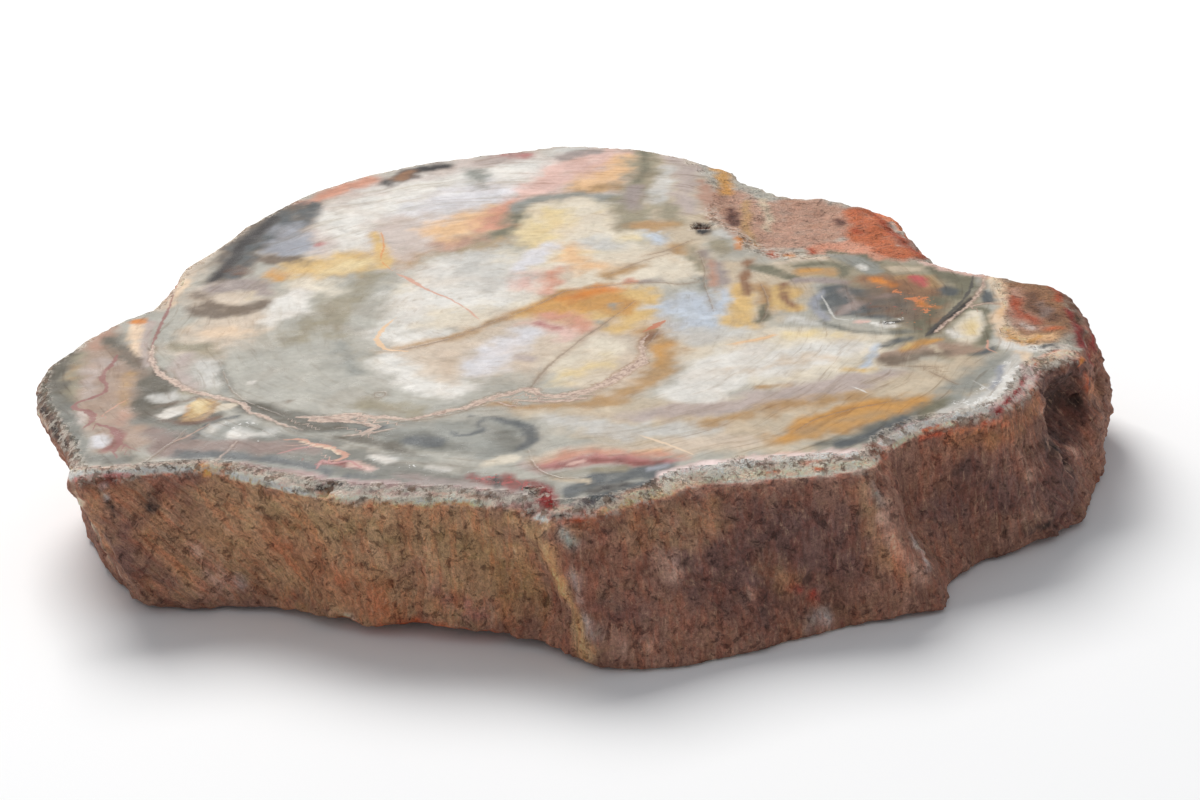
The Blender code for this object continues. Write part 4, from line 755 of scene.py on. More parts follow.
# Patches of the bark wall: name, tint, softness, and the balls of a chain: x, y, height, radius
SIDE_ZONES = (
    ("ochre wall", "bark_ochre", 5, (-30, -37, 9, 6), (-22, -41.5, 8, 7), (-14, -43.5, 9, 7),
     (-8, -45, 8, 5)),
    ("orange cloud, ochre wall", "rusty_bark", 3, (-31, -37, 8, 0.8), (-25, -40, 6, 1.6),
     (-18, -43, 3.6, 1.4)),
    ("moss cloud, ochre wall", "bark_moss", 3, (-28, -39, 11, 1.2), (-16, -44, 11, 1), (-7, -46.4, 8, 2),
     (-5, -47.4, 4, 1.6)),
    ("heather cloud, ochre wall", "wine", 3, (-15, -43.6, 7, 0.2), (-10, -45, 4, 0.3)),
    ("brown left end, wall", "brown", 4, (-45, -33, 8, 3), (-41, -35.6, 10, 3), (-38, -36, 5, 3)),
    ("left side, bump", "bark_brown", 3, (-50, -20, 8, 4), (-47, -28, 6, 3)),
    ("mauve cloud, left end", "plum", 2.6, (-42.4, -35.8, 11.4, 0.6), (-41.4, -36, 7, 1),
     (-39, -36, 3.4, 0.8)),
    ("black-red patch", "pitch", 1, (-39.4, -35.4, 12.4, 0.4), (-38.9, -35.4, 11, 0.5)),
    ("second black-red patch", "pitch", 1, (-43.4, -35.6, 12.8, 0.2), (-42, -35.9, 11, 0.2)),
    ("warm flush low on left", "clay", 3, (-35.4, -36.2, 5, 0.4), (-33.6, -36.6, 2.4, 0.6)),
    ("pale slanted ridge", "beige", 0.7, (-45.8, -34.6, 13.4, 0.3), (-45.6, -34.3, 11, 0.4),
     (-45.4, -32, 6, 0.4), (-43.6, -31.5, 1.6, 0.4)),
    ("pale rim, left side", "sand", 0.8, (-46.5, -26.3, 5, 0.3), (-44.7, -28.5, 1.7, 0.3)),
    ("blue streak", "blue_grey", 0.5, (-43.1, -35.7, 13.8, 0.25), (-42.8, -35.8, 12.6, 0.25)),
    ("grey spot", "mauve_grey", 1.2, (-31.6, -36.5, 3, 0.4)),
    ("pale foot streak", "sand", 0.6, (-23, -41.5, 2.4, 0.3), (-21, -42, 1.6, 0.3)),
    ("tan slanted ridge", "tan", 1.4, (-6, -46.2, 13.6, 0.6), (-2.9, -48.2, 12, 0.7), (-1.2, -49.2, 8, 0.8),
     (0.4, -50.8, 2, 1)),
    ("grey stripe, ridge", "mauve_grey", 1.2, (0, -50, 9.4, 0.3), (0.4, -50.4, 6.4, 0.35),
     (1.4, -51.2, 4, 0.4)),
    ("pale grains of that stripe", "heather", 0.8, (0.3, -50.3, 7.6, 0.1), (0.7, -50.8, 5.2, 0.15)),
    ("grey pocket under notch", "ash", 0.8, (-0.8, -49.4, 12.6, 0.6), (-0.2, -49.4, 12, 0.4)),
    ("rust under notch", "rusty_bark", 1, (-0.4, -49, 13.6, 0.4), (1.6, -49, 13.4, 0.4)),
    ("plum front wall", "plum", 4, (11, -48, 8, 4), (17, -47, 8, 5), (23, -45.6, 8, 4)),
    ("brown front wall", "bark_brown", 3, (4, -50, 8, 2.5), (7, -50, 4, 3)),
    ("orange cloud high on front wall", "brown", 2.5, (6, -48, 12, 1.6), (13, -46, 11.6, 1.6)),
    ("dark cloud, front wall", "plum", 2.6, (2.6, -51, 6.8, 0.6), (6.5, -51, 5, 0.5)),
    ("pale cloud, front wall", "clay", 1.6, (8.2, -48.2, 9.6, 0.6), (8.8, -48, 7.8, 0.5)),
    ("pale foot, front wall", "clay", 2.2, (4.6, -52, 2, 0.6), (7, -51.6, 1.6, 0.4)),
    ("pale streak, front wall", "clay", 1, (15.2, -47.6, 6.2, 0.15), (16, -47.6, 5.2, 0.15)),
    ("ochre streak, front wall", "brown", 1.6, (17.4, -46.6, 8, 0.6), (19.6, -46.8, 5, 0.7)),
    ("blood spots, front wall", "blood", 1, (19.6, -46.8, 4.8, 0.1), (20.4, -46.6, 4.2, 0.1),
     (22, -46.2, 3.4, 0.3)),
    ("pale patch at foot", "mauve_grey", 1.2, (21, -47, 1.2, 0.6), (22.6, -46.6, 1.6, 0.6)),
    ("orange left, corner ridge", "brown", 1.4, (26.4, -43.2, 13, 0.6), (27.6, -44.4, 8, 0.7),
     (29.6, -44.8, 4, 0.7)),
    ("pale corner ridge", "clay", 1.4, (27.6, -43, 12.6, 0.4), (29, -43.8, 8.4, 0.3),
     (31.6, -44.2, 3.4, 0.2)),
    ("grey top of that ridge", "ash", 0.7, (27.5, -43, 12.6, 0.3), (27.9, -43.2, 11, 0.2)),
    ("pale streak right, ridge", "heather", 0.8, (31, -41.6, 8, 0.3), (32, -43, 4.4, 0.35)),
    ("brown, right wall", "bark_brown", 3, (33, -38, 7, 4), (38, -34.6, 8, 4), (43, -31, 7, 4)),
    ("plum right wall", "plum", 3, (34, -37.6, 6, 1.4), (38, -34.6, 7.4, 2.4), (42, -32, 5, 2),
     (46, -29.6, 4, 1.4)),
    ("dark patch, right wall", "plum", 2.6, (34, -37, 7, 1.2), (36.4, -34.8, 9, 1.4),
     (38.6, -34.2, 7.6, 1.4)),
    ("black specks of that patch", "pitch", 1.2, (36.2, -34.3, 10, 0.3), (37.6, -34.3, 8.7, 0.4),
     (38.4, -34, 7.8, 0.2)),
    ("brown edge under right lip", "rusty_bark", 1.8, (36, -34.6, 12.6, 0.8), (40.4, -31.6, 12.4, 0.8),
     (43.6, -27, 12.8, 0.8)),
    ("pale rib, right wall", "clay", 0.9, (42.4, -32, 10.4, 0.25), (42.9, -32.2, 7, 0.25),
     (43.4, -32.2, 4.6, 0.2)),
    ("pale ledge", "clay", 0.8, (41, -33.2, 3.2, 0.15), (44.1, -31.9, 3.4, 0.25), (46.4, -30.4, 2.2, 0.2)),
    # Painted shade: the black slit under the pale ledge.
    ("dark slit under ledge", "pitch", 0.8, (42.6, -32.9, 2.2, 0.2), (45.2, -31.4, 2, 0.25)),
    ("brown right end", "bark_brown", 2.4, (52, -16, 4, 2), (52.6, -12, 7, 2)),
    ("rust right edge", "rusty_bark", 1.8, (51.4, -17.6, 10, 1), (52.4, -13, 8, 0.8)),
    ("blood red right edge", "blood", 1.4, (51.6, -17, 12.8, 0.6), (52.6, -11, 12.4, 0.7)),
    # Painted shade: the dark and black zones of the right hollow darken it where shade falls in it.
    ("dark right hollow", "plum", 2.4, (45.4, -29.8, 11, 1), (45.8, -30, 6, 1.6), (47, -28.8, 3, 1.6),
     (45.8, -24.4, 12.8, 1.4), (48.6, -21, 12.8, 2), (48, -20, 10, 3), (46.8, -23, 7.6, 3),
     (46.4, -28.6, 7.2, 2.2), (47.4, -27.4, 3.4, 1.6)),
    ("black, right hollow", "pitch", 3, (46.6, -23, 12.8, 0.2), (48.5, -21, 13, 0.4), (48, -19.6, 10.4, 1),
     (50.2, -19.2, 9.6, 0.3), (47.2, -22.4, 8.4, 0.5)),
    ("brown veil in that hollow", "brown", 1.2, (47, -23, 11.4, 0.1), (48.4, -22, 10.4, 0.3),
     (49, -21, 8.6, 0.2)),
    ("second black of that hollow", "pitch", 2, (45, -29.6, 8.6, 0.5), (46.8, -27.6, 7, 0.9),
     (47, -28, 5, 0.5)),
    ("pale fibres, hollow", "clay", 0.9, (44.8, -26.8, 11.6, 0.25), (46, -25.4, 9.4, 0.2),
     (47.4, -25, 7.8, 0.25), (49.2, -23.4, 5.6, 0.2)),
    ("second pale fibres", "clay", 0.7, (44.4, -28.6, 10.2, 0.1), (46.4, -28.6, 7.6, 0.15),
     (48.2, -26.2, 4.4, 0.1)),
    ("orange edge beside hollow", "rust", 0.9, (50.6, -19.4, 12, 0.3), (51.2, -19.2, 10.4, 0.3)),
    ("brown foot facet", "rust", 0.8, (-22, -40.8, 1, 0.6), (-16, -42.6, 1.4, 0.8), (-8, -44.6, 1.2, 0.7)),
    ("brick wall, break", "brick", 3, (36, 26, 12, 2.5), (41, 15, 12, 3), (44, 6, 12, 2.5)),
    ("rust lower wall, break", "bark_brown", 4, (38, 26, 5, 4), (43, 13, 5, 4)),
    ("ochre back wall", "bark_ochre", 5, (-4, 47, 8, 6), (-18, 44, 7, 5), (-32, 31, 8, 5)),
    ("plum patches, back wall", "plum", 3, (8, 46, 6, 2.5), (14, 43.4, 9, 2)),
    ("dark patch, back left wall", "plum", 3, (-34, 27.6, 6, 2.5), (-40, 9, 6, 2)),
    ("pale rib, back wall", "tan", 1.6, (-4, 47.6, 12, 0.8), (-3.4, 47, 4, 0.8)),
)

# Seams, cracks and threads follow routes on the same plan: x, y, half width
SEAM_ROUTES = {
    "main seam, left": ((-41.8, -6.5, 0.2), (-41.5, -10, 0.3), (-40.3, -13.5, 0.35), (-38.5, -16, 0.4),
     (-37, -18, 0.35), (-35, -19.3, 0.3), (-33, -20.8, 0.35), (-31.3, -22, 0.35), (-30.5, -24, 0.3),
     (-29, -25.3, 0.3), (-27.5, -27, 0.2), (-25.4, -28.6, 0.05)),
    "main seam, middle": ((-25.4, -25.9, 0.2), (-23, -26.2, 0.4), (-20.5, -26.1, 0.5), (-18, -26.9, 0.45),
     (-16.4, -27.3, 0.4), (-15.2, -27.7, 0.2), (-14, -27.3, 0.3), (-12, -26.5, 0.4), (-10, -25.7, 0.4),
     (-8, -24.3, 0.5), (-6.5, -23.4, 0.55), (-5, -22.6, 0.4)),
    "main seam, right": ((-4.4, -22.2, 0.3), (-3.6, -22.3, 0.5), (-2.8, -23.5, 0.5), (-1.2, -24, 0.5),
     (1, -23.7, 0.5), (2.6, -22.8, 0.6), (4, -21.5, 0.6), (5, -20, 0.55), (6, -18.7, 0.6), (7.3, -17, 0.5),
     (7.4, -14.6, 0.4), (7.4, -12.6, 0.3), (8, -10.6, 0.15)),
    "lower branch": ((-24.4, -26.8, 0.3), (-21, -27.3, 0.4), (-19.2, -28.2, 0.35), (-18, -29, 0.25),
     (-18.9, -29.8, 0.25), (-19.3, -30.6, 0.1)),
    "seam fringe": ((-21, -30.6, 0.05), (-18.6, -30.3, 0.15), (-16.6, -29.6, 0.1)),
    "lower fringe, right part": ((-4.8, -24.6, 0.1), (-2.4, -25.2, 0.25), (-0.4, -25.3, 0.3),
     (1.4, -25, 0.15)),
    "tail, seam": ((-7, -24.6, 0.05), (-6.2, -25.3, 0.12), (-5.2, -25.9, 0.05)),
    "double line by pocket": ((43.4, 0.6, 0.15), (42.6, -2.6, 0.2), (41.5, -5.4, 0.2), (39.8, -8.4, 0.22),
     (38, -11, 0.2), (36.6, -13.4, 0.15)),
    "arch over pocket": ((41.2, -7.3, 0.1), (42.4, -6.9, 0.16), (43.6, -7.3, 0.1)),
    "front left seam": ((-31.3, -30.8, 0.05), (-31.9, -32.6, 0.1), (-32.4, -34, 0.1), (-33, -35.6, 0.12)),
}

CRACK_ROUTES = {
    "diagonal crack, upper": ((7.2, -1.2, 0.05), (5, -5, 0.12), (3.6, -7.4, 0.14), (2, -9.8, 0.1),
     (0.4, -12.6, 0.12)),
    "diagonal crack, lower": ((0.4, -12.6, 0.12), (-0.9, -15, 0.18), (-2.3, -18, 0.2), (-3.1, -20.4, 0.16),
     (-3.5, -21.6, 0.1)),
    "ring crack, left": ((-20, -10.6, 0.02), (-17, -10.9, 0.08), (-14.2, -9.9, 0.2), (-12, -8.8, 0.18),
     (-10, -7.2, 0.1), (-7.5, -5, 0.1)),
    "ring crack, middle": ((-7.5, -5, 0.1), (-5, -3, 0.1), (-2, 0, 0.09), (0.2, 2.4, 0.09), (4, 3.1, 0.08),
     (7, 3.7, 0.1), (9.8, 3.4, 0.12), (12, 2.6, 0.1), (14.4, 3, 0.06)),
    "ring line, left field": ((-34.5, -11.6, 0.04), (-33.5, -16, 0.08), (-32.4, -19.4, 0.08),
     (-30.2, -22.4, 0.06), (-27.4, -25.2, 0.04)),
    "line under blue pool": ((14.4, 11, 0.06), (14.7, 6, 0.1), (14.5, 2, 0.08), (15, -4.8, 0.1)),
    "line in honey": ((20.3, 1, 0.08), (20.6, -3, 0.12), (20.2, -6.4, 0.1), (19.4, -9, 0.04)),
    "dark red line": ((9.2, -9.4, 0.15), (8.4, -11.8, 0.12), (7.6, -13.6, 0.04)),
    "line in ochre streak": ((20.6, -35.4, 0.04), (23, -32.6, 0.08), (27, -30.6, 0.08), (31, -29.4, 0.04)),
    "line right, heart": ((-3.8, -36.2, 0.05), (-3.4, -39, 0.1), (-2.4, -41, 0.12), (-0.6, -42.4, 0.08),
     (1.6, -42.2, 0.04)),
    "ring eye": ((-18.6, -21, 0.08), (-17.8, -20.9, 0.08), (-17.6, -21.8, 0.08), (-18.4, -22.2, 0.1),
     (-18.7, -21.4, 0.08), (-18.5, -21, 0.08)),
    "shade under seam": ((-16, -28.1, 0.06), (-14, -27.9, 0.16), (-11, -27, 0.14), (-8, -25.3, 0.08)),
    "cream bay outline": ((13.8, 15, 0.05), (12, 13.2, 0.1), (10.4, 12, 0.14), (8.6, 11.2, 0.06)),
    "olive line across bay": ((4.6, 6.2, 0.05), (6.8, 8.4, 0.1), (9.4, 10.4, 0.1), (11.6, 11.6, 0.04)),
    "brown foot line": ((30.2, -21, 0.05), (33, -21.6, 0.1), (36, -22.2, 0.06)),
    "lines, olive patch": ((34.4, -22.6, 0.05), (36.4, -25.6, 0.12), (37, -26.4, 0.05)),
    "front left crack": ((-36.4, -27.6, 0.05), (-36.8, -29.2, 0.12), (-37.8, -31, 0.1),
     (-38.4, -32.4, 0.12), (-39.4, -34, 0.05)),
}

# Threads have a name and a tint of their own before their route
THREAD_ROUTES = (
    ("purple line, left rim", "wine", (-41.2, 7, 0.1), (-41.3, 3, 0.16), (-41.7, -2, 0.2),
     (-41.9, -6.5, 0.15)),
    ("wavy line, bump", "wine", (-45.2, -8.6, 0.15), (-45.4, -10.6, 0.3), (-46, -12.8, 0.4),
     (-45.9, -14.4, 0.36), (-45.3, -15.6, 0.26), (-45.3, -17.4, 0.22), (-46.3, -18.6, 0.24),
     (-47.7, -19.7, 0.24), (-47.6, -21, 0.3), (-46.5, -21.6, 0.4), (-45.6, -23, 0.45), (-45.7, -24.4, 0.3),
     (-46.2, -25.6, 0.1)),
    ("second wavy line", "wine", (-44.9, -25, 0.15), (-43.6, -26, 0.3), (-42.8, -27.6, 0.35),
     (-42.3, -29.4, 0.35), (-42.6, -31.2, 0.28), (-42.2, -32.6, 0.1)),
    ("branch, second line", "wine", (-42.4, -29, 0.2), (-41.4, -30.4, 0.18), (-40.4, -31.4, 0.05)),
    ("thin line, bump", "salmon", (-44.6, -22.6, 0.05), (-43.8, -21, 0.1), (-42.9, -19.6, 0.05)),
    ("salmon line, centre", "salmon", (-17.6, 9.6, 0.1), (-16.4, 8, 0.28), (-14.8, 5.4, 0.2),
     (-13.4, 3.6, 0.16), (-12, 2, 0.1), (-10.2, -1, 0.12), (-9.4, -2.8, 0.12), (-8.8, -4.2, 0.05)),
    ("salmon loop, front left", "salmon", (-26.6, -30.8, 0.06), (-25, -31, 0.22), (-23.8, -32.2, 0.3),
     (-22.3, -32.9, 0.28), (-21.2, -34.2, 0.34), (-20.6, -35.2, 0.3), (-21.4, -35.9, 0.15)),
    ("cream side, loop", "peach", (-25.2, -31.4, 0.1), (-23.4, -32.6, 0.2), (-22.2, -33.4, 0.2),
     (-21.4, -34.6, 0.15)),
    ("salmon arm, loop", "rose", (-26.6, -33.6, 0.1), (-25.6, -33, 0.18), (-24.2, -32.6, 0.15)),
    ("tuft below loop", "rose", (-23.2, -37.2, 0.08), (-22.8, -35.8, 0.2), (-21.8, -36.6, 0.2),
     (-20.4, -36.2, 0.22), (-19.4, -37.4, 0.2)),
    ("cream line, front", "peach", (6.6, -34.1, 0.05), (8.2, -35.6, 0.22), (9.6, -37, 0.2),
     (11, -38.6, 0.06)),
    ("pink streak, lobe", "apricot", (16.2, -13.8, 0.05), (18.6, -13.1, 0.25), (20.6, -12.3, 0.05)),
    ("red streak by seam", "brick", (8, -9.2, 0.1), (8.8, -8.4, 0.45), (9.6, -7.4, 0.2)),
    ("apricot loop left, centre", "apricot", (-17.4, -2.4, 0.05), (-18.6, -5.2, 0.28), (-19, -8.2, 0.34),
     (-18, -10.4, 0.3), (-16.2, -11.2, 0.1)),
    ("white scratch", "chalk", (26.8, -25.4, 0.03), (27.8, -26.6, 0.12), (28.6, -27.6, 0.03)),
    ("second white scratch", "pale_grey", (38.4, -25.6, 0.03), (39.4, -27.4, 0.1), (39.8, -28.6, 0.03)),
    ("salmon lines by pocket", "salmon", (41.2, -16.6, 0.08), (41, -18.4, 0.12), (41.6, -19.4, 0.05)),
    ("white vein, slate mass", "pale_grey", (26.2, -3, 0.06), (26.6, -6, 0.14), (27, -8.6, 0.14),
     (28.4, -9.4, 0.06)),
    ("orange thread, honey edge", "amber", (-19.9, 22, 0.05), (-19.5, 18, 0.1), (-19.6, 14, 0.08),
     (-18.4, 11, 0.05)),
    ("dark line, olive end", "charcoal", (42, 0, 0.1), (41.2, -3.4, 0.2), (39.4, -7.4, 0.22),
     (37.4, -10.8, 0.25), (35.6, -14, 0.2)),
    ("pale line, quartz pocket", "clay", (-36.8, -29.6, 0.06), (-35.8, -28.6, 0.14), (-34.8, -27.2, 0.08),
     (-34.2, -26.2, 0.04)),
)

# Patches in which fine flecks of one kind appear: strength at the middle, softness, circles
FLECK_PATCHES = {
    "frost": (
        (0.75, 1.5, (43.4, -21.6, 0.8), (42.2, -26, 1.2), (39.6, -29, 1.6), (37, -31.4, 1.4)),
        (0.45, 1.5, (-34, -28, 1), (-31, -27, 1.8), (-29, -29, 1.4)),
        (0.35, 1.2, (-24, -28, 0.8), (-20, -29, 0.8)),
        (0.55, 1, (29, -9.6, 0.5), (31.4, -10.6, 0.8), (33.4, -10, 0.6)),
        (0.45, 1.2, (-18, -36, 0.8), (-14, -38, 1), (-10, -40.4, 0.8)),
        (0.35, 1.5, (-33, -32, 0.8), (-28, -33.4, 1)),
        (0.3, 1.5, (-36, -14, 1.2), (-34, -20, 0.8)),
    ),
    "red": (
        (0.7, 1.2, (-10, -40.8, 0.6), (-6, -42, 1.2), (-3, -44.6, 0.9)),
        (0.4, 1.5, (30, -6.4, 1.4), (36, -8.6, 1.4), (34.4, -12.4, 0.6)),
        (0.35, 1.5, (-27, -33.6, 1), (-22, -36.6, 1.2)),
        (0.3, 1.6, (-1, -8.6, 1.6), (0, -4.4, 1.4)),
        (0.4, 1, (18, -43.4, 0.8), (24, -43, 0.8)),
    ),
    "amber": (
        (0.75, 1.2, (32.4, -1.4, 0.8), (34.6, -4, 1), (36.6, -6, 1.2), (34.6, -10.6, 1)),
        (0.35, 1.5, (46, -13, 1.6), (45, -17, 1)),
        (0.3, 1.2, (34, -18, 1.2), (38, -16, 0.8)),
        (0.3, 1.5, (24, 9, 1), (32, 14, 2)),
    ),
    "soot": (
        (0.75, 1, (-51.6, -15, 0.3), (-50, -20.6, 0.4), (-48, -26, 0.5), (-46.2, -31, 0.5)),
        (0.5, 1.4, (28, -4, 1.4), (32, -7, 1.6), (37, -10, 1.2)),
        (0.45, 1.4, (-37.6, -31, 1), (-33, -34.2, 1), (-26, -36, 1)),
        (0.35, 1.4, (47, -8, 1.6), (46, -14, 1.4)),
        (0.35, 1.6, (40, -22, 1.4), (41, -27, 1)),
        (0.35, 1.4, (2, -44, 1.2), (7, -42.6, 1)),
    ),
}


def pairs(chain):
    """Neighbouring points of a chain; a chain of one point is paired with itself."""
    return list(zip(chain, chain[1:])) or [(chain[0], chain[0])]


def rounded(points, steps=5):
    """The points of a route with more laid between them on a smooth curve."""
    points = [np.array(point, float) for point in points]
    if len(points) < 3:
        return points
    ends = [2.0 * points[0] - points[1], *points, 2.0 * points[-1] - points[-2]]
    curve = []
    for before, here, after, beyond in zip(ends, ends[1:], ends[2:], ends[3:]):
        for t in np.arange(steps) / steps:
            bow = (2.0 * before - 5.0 * here + 4.0 * after - beyond) * t * t
            twist = (3.0 * here - before - 3.0 * after + beyond) * t ** 3
            curve.append(0.5 * (2.0 * here + (after - before) * t + bow + twist))
    return [*curve, points[-1]]


def reach(points, chain):
    """Distance of each point from a chain of circles or balls, negative inside it."""
    nearest = np.full(len(points), 1000.0)
    for start, end in pairs(rounded(chain, 3)):
        start = np.asarray(start, float)
        along = np.asarray(end, float) - start
        line = along[:-1]
        offset = points - start[:-1]
        share = np.clip(offset @ line / max(line @ line, 1e-9), 0.0, 1.0)
        away = np.linalg.norm(offset - share[:, None] * line, axis=1)
        nearest = np.minimum(nearest, away - start[-1] - share * along[-1])
    return nearest


def fade(values, start, end):
    """Smooth step from 0 at start to 1 at end."""
    share = np.clip((values - start) / (end - start), 0.0, 1.0)
    return share * share * (3.0 - 2.0 * share)


def wander(points, size, seed):
    """Smooth random vectors, with values between about -1 and 1, that change over a size."""
    place = Vector((seed, 2.0 * seed, 3.0 * seed))
    return np.array([noise.noise_vector(Vector(point) / size + place) for point in points])


def lumps(points, size, seed, octaves=3):
    """Fractal noise between about -1 and 1."""
    place = Vector((seed, 2.0 * seed, 3.0 * seed))
    return np.array([noise.fractal(Vector(p) / size + place, 1.0, 2.1, octaves) for p in points])


def crags(points, size, seed, octaves=3):
    """Ridged noise between about 0 and 2."""
    place = Vector((seed, 2.0 * seed, 3.0 * seed))
    return np.array(
        [noise.ridged_multi_fractal(Vector(p) / size + place, 1.0, 2.1, octaves, 1.0, 2.0) for p in points]
    )


def pigment(seen):
    """Own colour of the polished stone that looks like a seen tint under the stage's light."""
    return np.maximum(seen - SHEEN, 0.3 * seen) / STAGE_LIGHT


def paint(surface, points, zones, wobble, ragged, tints, calm):
    """Lay the zones over the surface's colours, each with a wavering, ragged edge as soft as it
    says. The last column tells how calm the surface is: 1 for marked stone, 0 for bark."""
    coarse, fine, grain = wobble
    for number, (_, tint_name, softness, *chain) in enumerate(zones):
        waver = min(0.5 * softness, 1.1) * coarse + min(0.45 * softness, 0.75) * fine
        waver = waver + (0.1 + 0.12 * min(softness, 1.0)) * grain
        rag = math.cos(number) * ragged[0] + math.sin(number) * ragged[1]
        away = reach(points + waver, chain) + 0.4 * softness * rag
        cover = 1.0 - fade(away, -0.5 * softness, 0.6 * softness)
        cover *= 1.0 - 0.3 * np.clip(rag, 0.0, 1.0)
        colour = np.array(getattr(tints, tint_name))
        target = np.append(pigment(colour) if calm else colour, calm)
        surface += cover[:, None] * (target - surface)
    return surface


def follow(points, routes, limit):
    """Place of each point beside the nearest route: across it, along it, its half width there,
    which is zero further away than the limit, and the route's number."""
    samples = []
    for number, route in enumerate(routes):
        run = 0.0
        curve = rounded(route, 12)
        for here, after in zip(curve, curve[1:]):
            step = after[:2] - here[:2]
            length = float(np.linalg.norm(step))
            if length > 1e-6:
                samples.append((here[:2], step / length, here[2], run, number))
                run += length
        samples.append((curve[-1][:2], samples[-1][1], curve[-1][2], run, number))
    tree = kdtree.KDTree(len(samples))
    for index, sample in enumerate(samples):
        tree.insert((sample[0][0], sample[0][1], 0.0), index)
    tree.balance()
    nearest = [tree.find((point[0], point[1], 0.0))[1] for point in points]
    parts = zip(*(samples[index] for index in nearest))
    places, heads, widths, runs, numbers = (np.array(part) for part in parts)
    offset = points - places
    beyond = np.einsum("ij,ij->i", offset, heads)
    across = offset[:, 1] * heads[:, 0] - offset[:, 0] * heads[:, 1]
    distance = np.linalg.norm(offset, axis=1)
    ended = np.abs(beyond) > 0.6 * distance + 0.15
    widths = np.where(ended | (distance > limit), 0.0, widths)
    return across, runs + beyond, widths, numbers


def vertex_array(mesh, field):
    """The places or the normals of all vertices as rows of an array."""
    values = np.zeros(3 * len(mesh.vertices))
    mesh.vertices.foreach_get(field, values)
    return values.reshape(-1, 3)


def store(mesh, name, values):
    """Keep one number or one colour for each vertex under a name that the materials read."""
    kind, field = ("FLOAT", "value") if values.ndim == 1 else ("FLOAT_COLOR", "color")
    if values.ndim == 2:
        values = np.hstack([values, np.ones((len(values), 1))])
    attribute = mesh.attributes.new(name, kind, "POINT")
    attribute.data.foreach_set(field, values.astype(np.float32).ravel())


def remeshed_slice(cell):
    """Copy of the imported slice, merged and remeshed to even cells, in millimetres."""
    bm = bmesh.new()
    bm.from_mesh(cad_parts[NODE].data)
    bmesh.ops.scale(bm, vec=(1000.0, 1000.0, 1000.0), verts=bm.verts)
    bmesh.ops.remove_doubles(bm, verts=bm.verts, dist=0.002)
    rough = bpy.data.meshes.new("slice_copy")
    bm.to_mesh(rough)
    bm.free()
    holder = bpy.data.objects.new("slice_copy", rough)
    bpy.context.scene.collection.objects.link(holder)
    modifier = holder.modifiers.new("cells", "REMESH")
    modifier.mode = "VOXEL"
    modifier.voxel_size = cell
    modifier.use_smooth_shade = True
    graph = bpy.context.evaluated_depsgraph_get()
    mesh = bpy.data.meshes.new_from_object(holder.evaluated_get(graph))
    bpy.data.objects.remove(holder)
    bpy.data.meshes.remove(rough)
    return mesh


def coarser_underside(mesh):
    """Fewer, larger faces on the flat underside, which has no relief."""
    bm = bmesh.new()
    bm.from_mesh(mesh)
    flat = [v for v in bm.verts if all(other.co.z < SNAP for e in v.link_edges for other in e.verts)]
    bmesh.ops.unsubdivide(bm, verts=flat, iterations=4)
    bmesh.ops.triangulate(bm, faces=[face for face in bm.faces if len(face.verts) > 4])
    bm.to_mesh(mesh)
    bm.free()


def chipped_rim(points, top):
    """Lower the polished face's edge in small chips, and tell how far each point is from it."""
    lip = points[~top & (points[:, 2] > FACE_HEIGHT - 0.9)]
    tree = kdtree.KDTree(len(lip))
    for index, point in enumerate(lip):
        tree.insert(point, index)
    tree.balance()
    inland = np.zeros(len(points))
    inland[top] = [tree.find(point)[2] for point in points[top]]
    edge = top & (inland < CHIP_REACH)
    bites = crags(points[edge], CHIP_SIZE, 21.0, 2) - 1.0 + 0.5 * lumps(points[edge], 0.9, 22.0, 2)
    bites = np.maximum(bites - 0.3 - 0.5 * inland[edge], 0.0)
    points[edge, 2] -= np.minimum(0.9 * bites, CHIP_DEPTH)
    return inland


def roughen(mesh, relief):
    """Push the bark, the break and the corner in and out; keep the face and the base flat."""
    points = vertex_array(mesh, "co")
    normals = vertex_array(mesh, "normal")
    top = points[:, 2] > FACE_HEIGHT - SNAP
    base = points[:, 2] < SNAP
    points[top, 2] = FACE_HEIGHT
    points[base, 2] = 0.0
    rough = ~(top | base)
    some = points[rough]
    leaned = some * (1.0, 1.0, 0.3) + some[:, 2:] * (0.0, 0.0, 0.1)
    push = np.zeros(len(some))
    for kind, size, seed, octaves, share in RELIEF_LAYERS:
        if kind == "crags":
            push += share * (crags(some, size, seed, octaves) - 1.0)
        else:
            push += share * lumps(leaned if kind == "leaned lumps" else some, size, seed, octaves)
    often = 0.4 + 0.5 * fade(lumps(some, 9.0, 6.0, 1), -0.3, 0.3)
    push -= PIT_SHARE * often * fade(lumps(some, 1.5, 5.0, 3), 0.34, 0.8)
    depth = FACE_HEIGHT - some[:, 2]
    near_edge = 0.45 + 0.55 * fade(depth, 0.3, 1.8)
    near_base = fade(some[:, 2], 0.0, 0.9)
    corner = 1.0 + CORNER_RELIEF * fade(some[:, 0], CORNER_START, CORNER_END)
    push *= near_edge * (0.3 + 0.7 * near_base) * corner
    points[rough] += (relief * push)[:, None] * normals[rough] * (1.0, 1.0, 0.6)
    points[:, 2] = np.clip(points[:, 2], 0.0, FACE_HEIGHT)
    inland = chipped_rim(points, top)
    mesh.vertices.foreach_set("co", points.ravel())
    mesh.update()
    dents = np.zeros(len(points))
    dents[rough] = push
    return points, normals[:, 2], base, dents, inland


